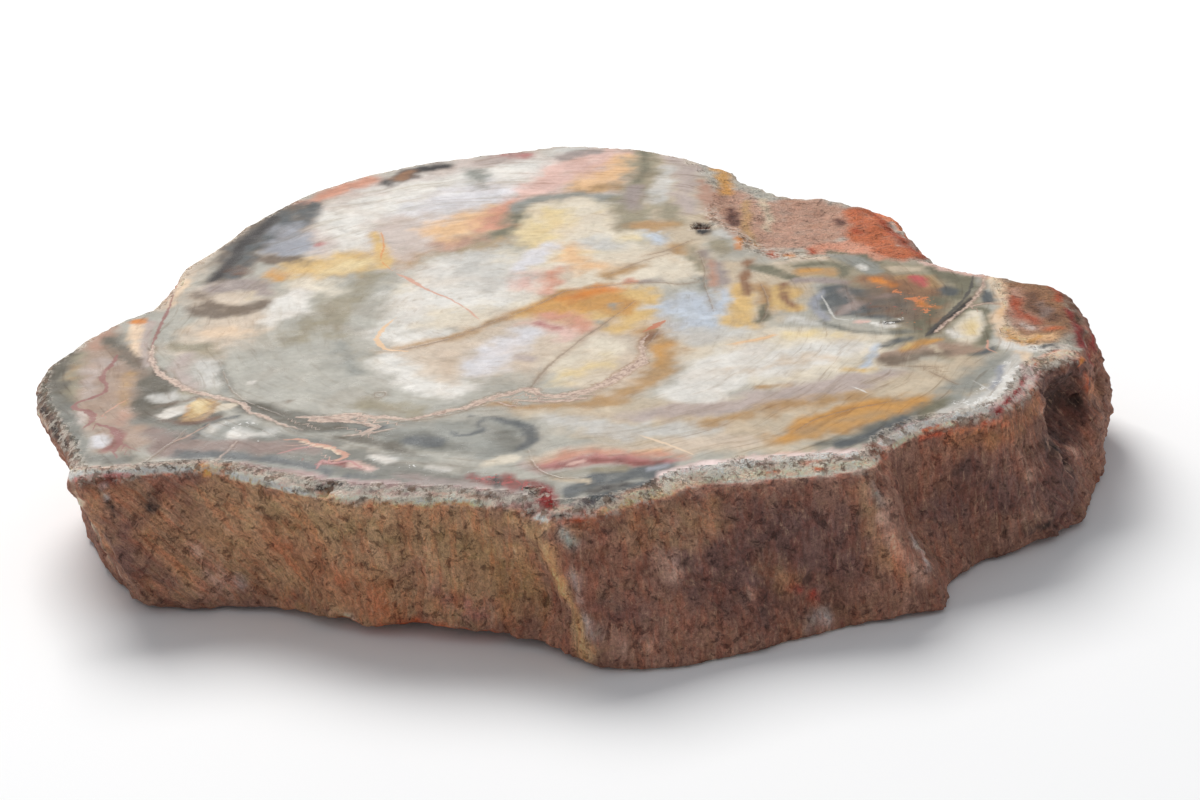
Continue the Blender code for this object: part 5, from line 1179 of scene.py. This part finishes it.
def paint_slice(mesh, points, slope, base, dents, inland, tints):
    """Store the colours, seams, cracks, threads and flecks of the whole surface."""
    plan = points[:, :2] + PLAN_MIDDLE
    depth = FACE_HEIGHT - points[:, 2]
    lip_plan = plan - np.minimum(depth, LEAN_DEPTH)[:, None] * MARKING_LEAN
    under_plan = plan - TRUNK_SHIFT
    on_top = depth < MARKED_DEPTH
    wobble = [wander(points, size, seed) for size, seed in ((6.0, 11.0), (2.2, 12.0), (0.8, 13.0))]
    flat_wobble = [values[:, :2] for values in wobble]
    ragged = [lumps(points, 1.6, seed, 4) for seed in (14.0, 15.0)]

    body = np.column_stack([plan, points[:, 2]])
    surface = np.tile(np.append(tints.bark_brown, 0.0), (len(points), 1))
    surface = paint(surface, body, SIDE_ZONES, wobble, ragged, tints, 0.0)

    marked = on_top | base
    marked_plan = np.where(base[:, None], under_plan, lip_plan)[marked]
    marked_wobble = [values[marked] for values in flat_wobble]
    marked_ragged = [values[marked] for values in ragged]
    face = np.tile(np.append(pigment(np.array(tints.fog)), 1.0), (len(marked_plan), 1))
    face = paint(face, marked_plan, FACE_ZONES, marked_wobble, marked_ragged, tints, 1.0)
    upward = slope[marked] + 0.2 * wobble[2][marked, 2]
    rough_top = 1.0 - fade(reach(plan[marked], ROUGH_TOP), -0.5, 1.5)
    below = depth[marked] + 0.3 * wobble[2][marked, 0] - 1.9 * rough_top
    keep = fade(upward, 0.3, 0.6) * (1.0 - fade(below, 0.35, 0.9))
    keep[base[marked]] = 1.0
    edge = surface[marked] + keep[:, None] * (face - surface[marked])
    lips = paint(edge.copy(), marked_plan, LIP_ZONES, marked_wobble, marked_ragged, tints, 1.0)
    # Painted light: where the lip is steep and faces away from the light, its painted colours are
    # brightened against the shade on it, and warmed by LIP_WARMTH.
    steep = 1.0 - np.clip(slope[marked], 0.0, 1.0)
    painted_light_lips = np.minimum(lips[:, :3] * (1.0 + 0.7 * steep)[:, None] * LIP_WARMTH, 0.9)
    painted = np.abs(lips - edge).max(axis=1, keepdims=True) > 0.02
    lips[:, :3] = np.where(painted, painted_light_lips, lips[:, :3])
    lipped = ((upward > 0.2) | (below < 0.9)) & ~base[marked]
    surface[marked] = np.where(lipped[:, None], lips, edge)
    store(mesh, "stone_colour", surface[:, :3])
    # Painted light: the calm is lowered on steep faces, so that the rough material's coarse grit brightens
    # the steep lip more, against the shade on it.
    store(mesh, "calm", surface[:, 3] * (0.4 + 0.6 * fade(slope, 0.1, 0.7)))
    lean = 0.9 * (1.0 - fade(plan[:, 0], -36.0, -14.0)) + 0.8 * fade(plan[:, 0], 40.0, CORNER_END)
    grown = np.column_stack([plan[:, 0] + lean * points[:, 2], plan[:, 1], 0.22 * points[:, 2]])
    store(mesh, "grown", grown * MM)

    for name, routes, limit in (("seam", SEAM_ROUTES, 1.7), ("crack", CRACK_ROUTES, 1.3)):
        across, along, width, _ = follow(lip_plan, list(routes.values()), limit)
        store(mesh, name + "_across", across)
        store(mesh, name + "_along", along)
        store(mesh, name + "_width", np.where(on_top, width, 0.0))
    across, along, width, number = follow(lip_plan, [row[2:] for row in THREAD_ROUTES], 1.1)
    threads = np.array([getattr(tints, row[1]) for row in THREAD_ROUTES])
    store(mesh, "thread_across", across)
    store(mesh, "thread_width", np.where(on_top, width, 0.0))
    store(mesh, "thread_colour", threads[number])

    spoke = lip_plan + 1.2 * flat_wobble[0] - RING_MIDDLE
    store(mesh, "ring", np.linalg.norm(spoke, axis=1))
    turned = spoke @ np.array(((0.7, -0.7), (0.7, 0.7)))
    store(mesh, "turn", RING_TURN * np.arctan2(turned[:, 1], -turned[:, 0]))

    for name, patches in FLECK_PATCHES.items():
        amount = np.zeros(len(points))
        for strength, softness, *chain in patches:
            away = reach(lip_plan + 0.5 * flat_wobble[1], chain)
            amount = np.maximum(amount, strength * (1.0 - fade(away, -0.5 * softness, softness)))
        store(mesh, name, np.where(on_top, amount, 0.0))
    store(mesh, "dent", dents)
    crust = 1.0 - fade(inland + 0.4 * wobble[2][:, 0], 0.2, 0.9)
    crust *= 1.0 - fade(depth + 0.5 * wobble[2][:, 1], 0.7, 1.4)
    crust *= fade(reach(plan, ROUGH_TOP), -0.5, 1.5)
    store(mesh, "crust", crust)


def feed(tree, made, inputs):
    """Link or set a node's inputs by name or number."""
    for socket, value in inputs.items():
        if isinstance(value, bpy.types.NodeSocket):
            tree.links.new(value, made.inputs[socket])
        else:
            made.inputs[socket].default_value = value


def node(tree, kind, inputs=None, **settings):
    """Add a shader node with its settings and inputs, laid out in the grid of the tree."""
    made = tree.nodes.new(kind)
    made.location = (180.0 * (len(tree.nodes) % 12), -220.0 * (len(tree.nodes) // 12))
    for name, value in settings.items():
        setattr(made, name, value)
    feed(tree, made, inputs or {})
    return made


def read(tree, name, output="Fac"):
    """Output of a named vertex attribute."""
    return node(tree, "ShaderNodeAttribute", attribute_name=name).outputs[output]


def maths(tree, operation, first, second=0.0):
    """Sum, product or other simple function of two values."""
    return node(tree, "ShaderNodeMath", {0: first, 1: second}, operation=operation).outputs[0]


def times(tree, first, second):
    """Product of two values."""
    return maths(tree, "MULTIPLY", first, second)


def blend(tree, factor, under, over, mode="MIX"):
    """Colour mix by a factor."""
    inputs = {0: factor, 6: under, 7: over}
    return node(tree, "ShaderNodeMix", inputs, data_type="RGBA", blend_type=mode).outputs[2]


def ramp(tree, value, low, high, to_low=0.0, to_high=1.0, smooth=True):
    """Map a value from one range to another, clamped."""
    made = node(
        tree,
        "ShaderNodeMapRange",
        {"Value": value, "From Min": low, "From Max": high, "To Min": to_low, "To Max": to_high},
        interpolation_type="SMOOTHSTEP" if smooth else "LINEAR",
    )
    return made.outputs["Result"]


def noise_texture(tree, place, scale, detail, rough, distort=0.0):
    """Value of a noise texture."""
    inputs = {"Vector": place, "Scale": scale, "Detail": detail, "Roughness": rough, "Distortion": distort}
    return node(tree, "ShaderNodeTexNoise", inputs).outputs["Fac"]


def grain(tree, place, size, detail=3.0, rough=0.55, distort=0.0):
    """Noise texture whose features have a size in millimetres."""
    return noise_texture(tree, place, 1.0 / (size * MM), detail, rough, distort)


def new_group(name, inputs, outputs):
    """Shader node group with named sockets, each given as kind and default."""
    tree = bpy.data.node_groups.new(name, "ShaderNodeTree")
    for label, kind, default in inputs:
        socket = tree.interface.new_socket(label, in_out="INPUT", socket_type="NodeSocket" + kind)
        if default is not None:
            socket.default_value = default
    for label, kind in outputs:
        tree.interface.new_socket(label, in_out="OUTPUT", socket_type="NodeSocket" + kind)
    return tree, node(tree, "NodeGroupInput"), node(tree, "NodeGroupOutput")


def cloud_group():
    """Uneven light and warmth over a colour, at two sizes."""
    tree, source, result = new_group(
        "stone_clouds",
        (
            ("Colour", "Color", (0.5, 0.5, 0.5, 1.0)),
            ("Place", "Vector", None),
            ("Depth", "Float", 0.2),
            ("Warmth", "Float", 0.1),
        ),
        (("Colour", "Color"),),
    )
    place = source.outputs["Place"]
    broad = grain(tree, place, 3.2, 4.0, 0.6, 0.8)
    fine = grain(tree, place, 0.55, 3.0, 0.6)
    both = maths(tree, "ADD", times(tree, broad, 0.65), times(tree, fine, 0.35))
    swing = times(tree, maths(tree, "SUBTRACT", both, 0.5), source.outputs["Depth"])
    value = maths(tree, "ADD", times(tree, swing, 4.0), 1.0)
    shaded = node(tree, "ShaderNodeHueSaturation", {"Color": source.outputs["Colour"], "Value": value})
    warm = ramp(tree, grain(tree, place, 5.0, 3.0, 0.55, 0.5), 0.42, 0.7)
    warm = times(tree, warm, source.outputs["Warmth"])
    tinted = blend(tree, warm, shaded.outputs["Color"], WARM_CLOUDS, "MULTIPLY")
    tree.links.new(tinted, result.inputs["Colour"])
    return tree


def fleck_group():
    """Mask of small uneven flecks that are as frequent as the amount says."""
    tree, source, result = new_group(
        "stone_flecks",
        (("Place", "Vector", None), ("Size", "Float", 0.5), ("Amount", "Float", 0.5)),
        (("Mask", "Float"),),
    )
    scale = maths(tree, "DIVIDE", 1000.0, source.outputs["Size"])
    patches = noise_texture(tree, source.outputs["Place"], scale, 4.0, 0.7, 0.4)
    level = ramp(tree, source.outputs["Amount"], 0.0, 1.0, 0.76, 0.46, False)
    above = maths(tree, "SUBTRACT", patches, level)
    tree.links.new(ramp(tree, above, 0.0, 0.05), result.inputs["Mask"])
    return tree


def line_mask(tree, name, place, edge, wobble, extra=0.0):
    """Mask of the routes of one kind: inside their half width, with a wavering edge."""
    sway = maths(tree, "SUBTRACT", grain(tree, place, 0.9, 3.0), 0.5)
    across = maths(tree, "ADD", read(tree, name + "_across"), times(tree, sway, wobble))
    uneven = ramp(tree, grain(tree, place, 1.3, 3.0, 0.7), 0.35, 0.65, 0.35, 1.3, False)
    width = times(tree, read(tree, name + "_width"), uneven)
    inside = maths(tree, "SUBTRACT", maths(tree, "ADD", width, extra), maths(tree, "ABSOLUTE", across))
    there = ramp(tree, width, 0.01, 0.06)
    return times(tree, ramp(tree, inside, -edge, edge), there)


def use_group(tree, group, inputs, output):
    """Output of a shared node group laid into a material."""
    return node(tree, "ShaderNodeGroup", inputs, node_tree=group).outputs[output]


def new_material(name):
    """Material with its node tree, its Principled shader and the place on the object."""
    material = bpy.data.materials.new(name)
    material.use_nodes = True
    tree = material.node_tree
    shader = tree.nodes["Principled BSDF"]
    shader.location = (2500.0, 0.0)
    tree.nodes["Material Output"].location = (2800.0, 0.0)
    return material, tree, shader, node(tree, "ShaderNodeTexCoord").outputs["Object"]


def clouded(tree, clouds, place, depth, warmth):
    """The stored colour of the stone under clouds."""
    colour = read(tree, "stone_colour", "Color")
    inputs = {"Colour": colour, "Place": place, "Depth": depth, "Warmth": warmth}
    return use_group(tree, clouds, inputs, "Colour")


def finish(tree, shader, colour, rough, height, strength, distance):
    """Link the colour and roughness, and the height as a bump, to the shader's own sockets."""
    bump = node(tree, "ShaderNodeBump", {"Height": height, "Strength": strength, "Distance": distance})
    feed(tree, shader, {"Base Color": colour, "Roughness": rough, "Normal": bump.outputs[0]})


def face_markings(tree, place, clouds, flecks, tints):
    """Colour of the marked stone, with masks of its crystals and of its cracks."""
    colour = clouded(tree, clouds, place, 0.26, 0.14)
    ring_place = node(tree, "ShaderNodeCombineXYZ", {"X": read(tree, "ring"), "Y": read(tree, "turn")})
    for scale, low, amount, shade in RINGS:
        rings = noise_texture(tree, ring_place.outputs[0], scale, 4.0, 0.65, 0.3)
        amount = ramp(tree, read(tree, "ring"), 26.0, 36.0, amount, amount + 0.3)
        streak = times(tree, ramp(tree, rings, low, low + 0.2), amount)
        colour = blend(tree, streak, colour, shade, "MULTIPLY")
    crust = read(tree, "crust")
    crumbs = times(tree, crust, ramp(tree, grain(tree, place, 0.7, 4.0, 0.7), 0.47, 0.56))
    colour = blend(tree, times(tree, crumbs, 0.6), colour, FACE_CRUMBS)
    gaps = times(tree, crust, ramp(tree, grain(tree, place, 0.9, 4.0, 0.7), 0.46, 0.38))
    colour = blend(tree, times(tree, gaps, 0.7), colour, FACE_GAPS)

    halo = line_mask(tree, "crack", place, 0.6, 0.6, 0.25)
    colour = blend(tree, times(tree, halo, 0.4), colour, (*tints.tan, 1.0), "MULTIPLY")
    crack = line_mask(tree, "crack", place, 0.14, 0.3)
    colour = blend(tree, times(tree, crack, 0.6), colour, CRACK_COLOUR)
    thread = line_mask(tree, "thread", place, 0.12, 0.35)
    colour = blend(tree, times(tree, thread, 0.85), colour, read(tree, "thread_colour", "Color"))

    seam_place = node(
        tree,
        "ShaderNodeCombineXYZ",
        {"X": times(tree, read(tree, "seam_along"), 0.7), "Y": read(tree, "seam_across")},
    )
    along = seam_place.outputs[0]
    beads = node(tree, "ShaderNodeTexVoronoi", {"Vector": along, "Scale": 2.6, "Randomness": 1.0})
    shine = noise_texture(tree, along, 3.0, 4.0, 0.7)
    bead_value = maths(tree, "SUBTRACT", shine, times(tree, beads.outputs["Distance"], 0.3))
    light = blend(tree, ramp(tree, bead_value, 0.1, 0.5), SEAM_DARK, SEAM_LIGHT)
    seam_edge = line_mask(tree, "seam", place, 0.3, 0.7, 0.25)
    colour = blend(tree, times(tree, seam_edge, 0.5), colour, SEAM_HALO, "MULTIPLY")
    seam = line_mask(tree, "seam", place, 0.14, 0.6)
    colour = blend(tree, times(tree, seam, 0.9), colour, light)

    for name, size, shade in FLECKS:
        mask = use_group(tree, flecks, {"Place": place, "Size": size, "Amount": read(tree, name)}, "Mask")
        colour = blend(tree, times(tree, mask, 0.8), colour, (*srgb(*shade), 1.0))
    return colour, crack, seam


def polished_material(clouds, flecks, sizes, tints):
    """Polished agate: clear markings under a smooth, softly shining surface."""
    material, tree, shader, place = new_material("polished_agate")
    colour, crack, seam = face_markings(tree, place, clouds, flecks, tints)
    dull = times(tree, maths(tree, "MAXIMUM", crack, seam), 0.3)
    haze = ramp(tree, grain(tree, place, 2.4, 4.0, 0.6), 0.3, 0.75, -0.04, 0.1, False)
    rough = maths(tree, "ADD", maths(tree, "ADD", haze, dull), sizes.polish)
    height = maths(tree, "SUBTRACT", grain(tree, place, 0.4, 3.0), times(tree, crack, 2.0))
    height = maths(tree, "SUBTRACT", height, times(tree, seam, 0.8))
    shader.inputs["IOR"].default_value = 1.5
    shader.inputs["Specular IOR Level"].default_value = 0.35
    finish(tree, shader, colour, rough, height, 0.12, 0.0001)
    return material


def scaled(tree, colour, factor):
    """Colour made lighter or darker by a factor."""
    made = node(tree, "ShaderNodeVectorMath", {0: colour, "Scale": factor}, operation="SCALE")
    return made.outputs[0]


def bark_material(clouds):
    """Rough bark, break and corner: coarse colour breakup, pores, pale grains and fibres, and painted shade
    in the dents of the relief.
    """
    material, tree, shader, place = new_material("rough_bark")
    colour = clouded(tree, clouds, place, 0.24, 0.2)
    grown = read(tree, "grown", "Vector")
    wild = maths(tree, "SUBTRACT", 1.0, times(tree, read(tree, "calm"), 0.7))
    for spot, size, low, high, amount, shade in MOTTLES:
        spot = grown if spot == "grown" else place
        mask = ramp(tree, grain(tree, spot, size, 5.0, 0.68, 0.3), low, high, 0.0, amount)
        colour = blend(tree, times(tree, mask, wild), colour, shade, "MULTIPLY")
    fibres = grain(tree, grown, 0.45, 5.0, 0.7, 0.2)
    lines = times(tree, ramp(tree, fibres, 0.48, 0.38, 0.0, 0.5), wild)
    colour = blend(tree, lines, colour, (0.42, 0.3, 0.26, 1.0), "MULTIPLY")
    pale = times(tree, ramp(tree, fibres, 0.54, 0.68, 0.0, 0.36), wild)
    colour = blend(tree, pale, colour, PALE_FIBRES)
    pores = ramp(tree, grain(tree, place, 1.0, 5.0, 0.72, 0.6), 0.56, 0.66)
    holes = times(tree, times(tree, pores, 0.5), wild)
    colour = blend(tree, holes, colour, (0.3, 0.18, 0.14, 1.0), "MULTIPLY")
    grit = grain(tree, place, 0.3, 4.0, 0.75)
    # The grit brightens the colour, the coarse grit more; where the calm is lowered on steep faces this is
    # painted light against the shade there.
    coarse_grit = ramp(tree, grit, 0.3, 0.7, 1.15, 2.65, False)
    fine_grit = ramp(tree, grit, 0.3, 0.7, 0.9, 1.62, False)
    factor = node(tree, "ShaderNodeMix", {0: read(tree, "calm"), 2: coarse_grit, 3: fine_grit})
    colour = scaled(tree, colour, factor.outputs[0])
    limited = node(tree, "ShaderNodeVectorMath", {0: colour, 1: ROUGH_LIMIT}, operation="MINIMUM")
    colour = limited.outputs[0]
    crust = read(tree, "crust")
    crumbs = ramp(tree, grain(tree, place, 0.9, 4.0, 0.7, 0.3), 0.46, 0.56, 0.0, 0.6)
    colour = blend(tree, times(tree, crumbs, crust), colour, ROUGH_CRUMBS)
    gaps = ramp(tree, grain(tree, place, 1.2, 4.0, 0.72, 0.3), 0.48, 0.4, 0.0, 0.75)
    colour = blend(tree, times(tree, gaps, crust), colour, ROUGH_GAPS)
    # Painted shade: the stone is darkened in the dents of its relief, the pits and hollows where shade
    # falls.
    dark = times(tree, ramp(tree, read(tree, "dent"), -1.4, -0.2, 0.42, 0.0), wild)
    colour = blend(tree, dark, colour, (0.25, 0.16, 0.13, 1.0), "MULTIPLY")
    rough = ramp(tree, fibres, 0.3, 0.7, 0.6, 0.9, False)
    height = maths(tree, "ADD", grit, times(tree, fibres, 0.8))
    height = maths(tree, "SUBTRACT", height, times(tree, pores, 0.9))
    finish(tree, shader, colour, rough, height, 0.85, 0.0004)
    return material


def sawn_material(clouds, tints):
    """Sawn underside: the markings seen dull under dust and fine saw lines."""
    material, tree, shader, place = new_material("sawn_underside")
    colour = clouded(tree, clouds, place, 0.25, 0.2)
    colour = blend(tree, 0.45, colour, (*tints.mauve_grey, 1.0))
    turned = {"Vector": place, "Scale": (0.06, 1.0, 1.0), "Rotation": (0.0, 0.0, 0.35)}
    saw = grain(tree, node(tree, "ShaderNodeMapping", turned).outputs[0], 0.7, 2.0)
    colour = blend(tree, ramp(tree, saw, 0.4, 0.7, 0.0, 0.3), colour, (0.5, 0.46, 0.42, 1.0), "MULTIPLY")
    finish(tree, shader, colour, 0.7, saw, 0.25, 0.0002)
    return material


def assign_surfaces(mesh, points):
    """Material number of every face: polished face, sawn underside, or rough stone."""
    top = points[:, 2] >= FACE_HEIGHT - FLAT
    base = points[:, 2] <= FLAT
    numbers = []
    for polygon in mesh.polygons:
        corners = list(polygon.vertices)
        if top[corners].all():
            numbers.append(POLISHED)
        elif base[corners].all():
            numbers.append(SAWN)
        else:
            numbers.append(ROUGH)
    mesh.polygons.foreach_set("material_index", numbers)
    mesh.polygons.foreach_set("use_smooth", [True] * len(mesh.polygons))
    bm = bmesh.new()
    bm.from_mesh(mesh)
    for edge in bm.edges:
        edge.smooth = len({face.material_index for face in edge.link_faces}) == 1
    bm.to_mesh(mesh)
    bm.free()


class STONE_OT_slice(Operator):
    """Build the slice: dense surface, rough relief, markings and materials"""

    bl_idname = "stone.slice"
    bl_label = "Petrified wood slice"

    def execute(self, context):
        noise.seed_set(NOISE_SEED)
        sizes = context.scene.stone_sizes
        tints = context.scene.stone_tints
        mesh = remeshed_slice(sizes.cell / MM)
        coarser_underside(mesh)
        points, slope, base, dents, inland = roughen(mesh, sizes.bark_relief / MM)
        paint_slice(mesh, points, slope, base, dents, inland, tints)
        mesh.name = "stone_slice"
        mesh.materials.clear()
        clouds = cloud_group()
        flecks = fleck_group()
        mesh.materials.append(polished_material(clouds, flecks, sizes, tints))
        mesh.materials.append(bark_material(clouds))
        mesh.materials.append(sawn_material(clouds, tints))
        assign_surfaces(mesh, points)
        mesh.vertices.foreach_set("co", (points * MM).ravel())
        mesh.update()
        piece = bpy.data.objects.new("stone_slice", mesh)
        context.scene.collection.objects.link(piece)
        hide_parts(NODE)
        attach(piece, BODY)
        return {"FINISHED"}


def add_light(name, place, target, size, power, colour):
    """Square area light at a place, turned towards a target."""
    lamp = bpy.data.lights.new(name, "AREA")
    lamp.size = size
    lamp.energy = power
    lamp.color = colour
    holder = bpy.data.objects.new(name, lamp)
    holder.location = place
    holder.rotation_euler = (Vector(target) - Vector(place)).to_track_quat("-Z", "Y").to_euler()
    bpy.context.scene.collection.objects.link(holder)


class STONE_OT_stage(Operator):
    """Lay the pale floor, hang the soft lights and set up the camera"""

    bl_idname = "stone.stage"
    bl_label = "Floor, lights and camera"

    def execute(self, context):
        scene = context.scene
        bm = bmesh.new()
        bmesh.ops.create_circle(bm, cap_ends=True, segments=96, radius=FLOOR_RADIUS)
        bmesh.ops.translate(bm, verts=bm.verts, vec=(0.0, 0.0, -FLOOR_DROP))
        mesh = bpy.data.meshes.new("floor")
        bm.to_mesh(mesh)
        bm.free()
        floor = bpy.data.objects.new("floor", mesh)
        scene.collection.objects.link(floor)
        material, tree, shader, place = new_material("pale_floor")
        shade = blend(tree, grain(tree, place, 60.0, 2.0), (0.92, 0.92, 0.93, 1.0), (0.95, 0.95, 0.95, 1.0))
        tree.links.new(shade, shader.inputs["Base Color"])
        shader.inputs["Roughness"].default_value = 0.9
        mesh.materials.append(material)

        add_light("key_light", KEY_PLACE, (0.0, 0.0, 0.0), KEY_SIZE, KEY_POWER, KEY_COLOUR)

        world = bpy.data.worlds.new("soft_room")
        world.use_nodes = True
        background = world.node_tree.nodes["Background"]
        background.inputs["Color"].default_value = ROOM_COLOUR
        background.inputs["Strength"].default_value = ROOM_STRENGTH
        scene.world = world

        lens = bpy.data.cameras.new("camera")
        lens.sensor_width = 36.0
        lens.lens = CAMERA_LENS
        lens.clip_start = 0.01
        lens.clip_end = 10.0
        camera = bpy.data.objects.new("camera", lens)
        camera.location = CAMERA_PLACE
        camera.rotation_euler = [math.radians(angle) for angle in CAMERA_TURN]
        scene.collection.objects.link(camera)
        scene.camera = camera
        scene.view_settings.view_transform = "Standard"
        return {"FINISHED"}


class STONE_PT_panel(Panel):
    """Buttons and values of the petrified wood slice"""

    bl_idname = "STONE_PT_panel"
    bl_label = "Petrified wood slice"
    bl_space_type = "VIEW_3D"
    bl_region_type = "UI"
    bl_category = "Stone"

    def draw(self, context):
        layout = self.layout
        for name in STEPS:
            layout.operator("stone." + name)
        for group in (context.scene.stone_sizes, context.scene.stone_tints):
            column = layout.column()
            for name in group.bl_rna.properties.keys():
                if name not in ("rna_type", "name"):
                    column.prop(group, name)


STEPS = ("slice", "stage")
CLASSES = (StoneTints, StoneSizes, STONE_OT_slice, STONE_OT_stage, STONE_PT_panel)


def register():
    """Make the classes and the values of the scene known to Blender."""
    for item in CLASSES:
        bpy.utils.register_class(item)
    bpy.types.Scene.stone_tints = PointerProperty(type=StoneTints)
    bpy.types.Scene.stone_sizes = PointerProperty(type=StoneSizes)


def unregister():
    """Take the values and the classes out of Blender again."""
    del bpy.types.Scene.stone_sizes
    del bpy.types.Scene.stone_tints
    for item in reversed(CLASSES):
        bpy.utils.unregister_class(item)


def main():
    """Build the slice and the stage."""
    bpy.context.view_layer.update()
    register()
    for name in STEPS:
        getattr(bpy.ops.stone, name)()


if __name__ == "__main__":
    main()
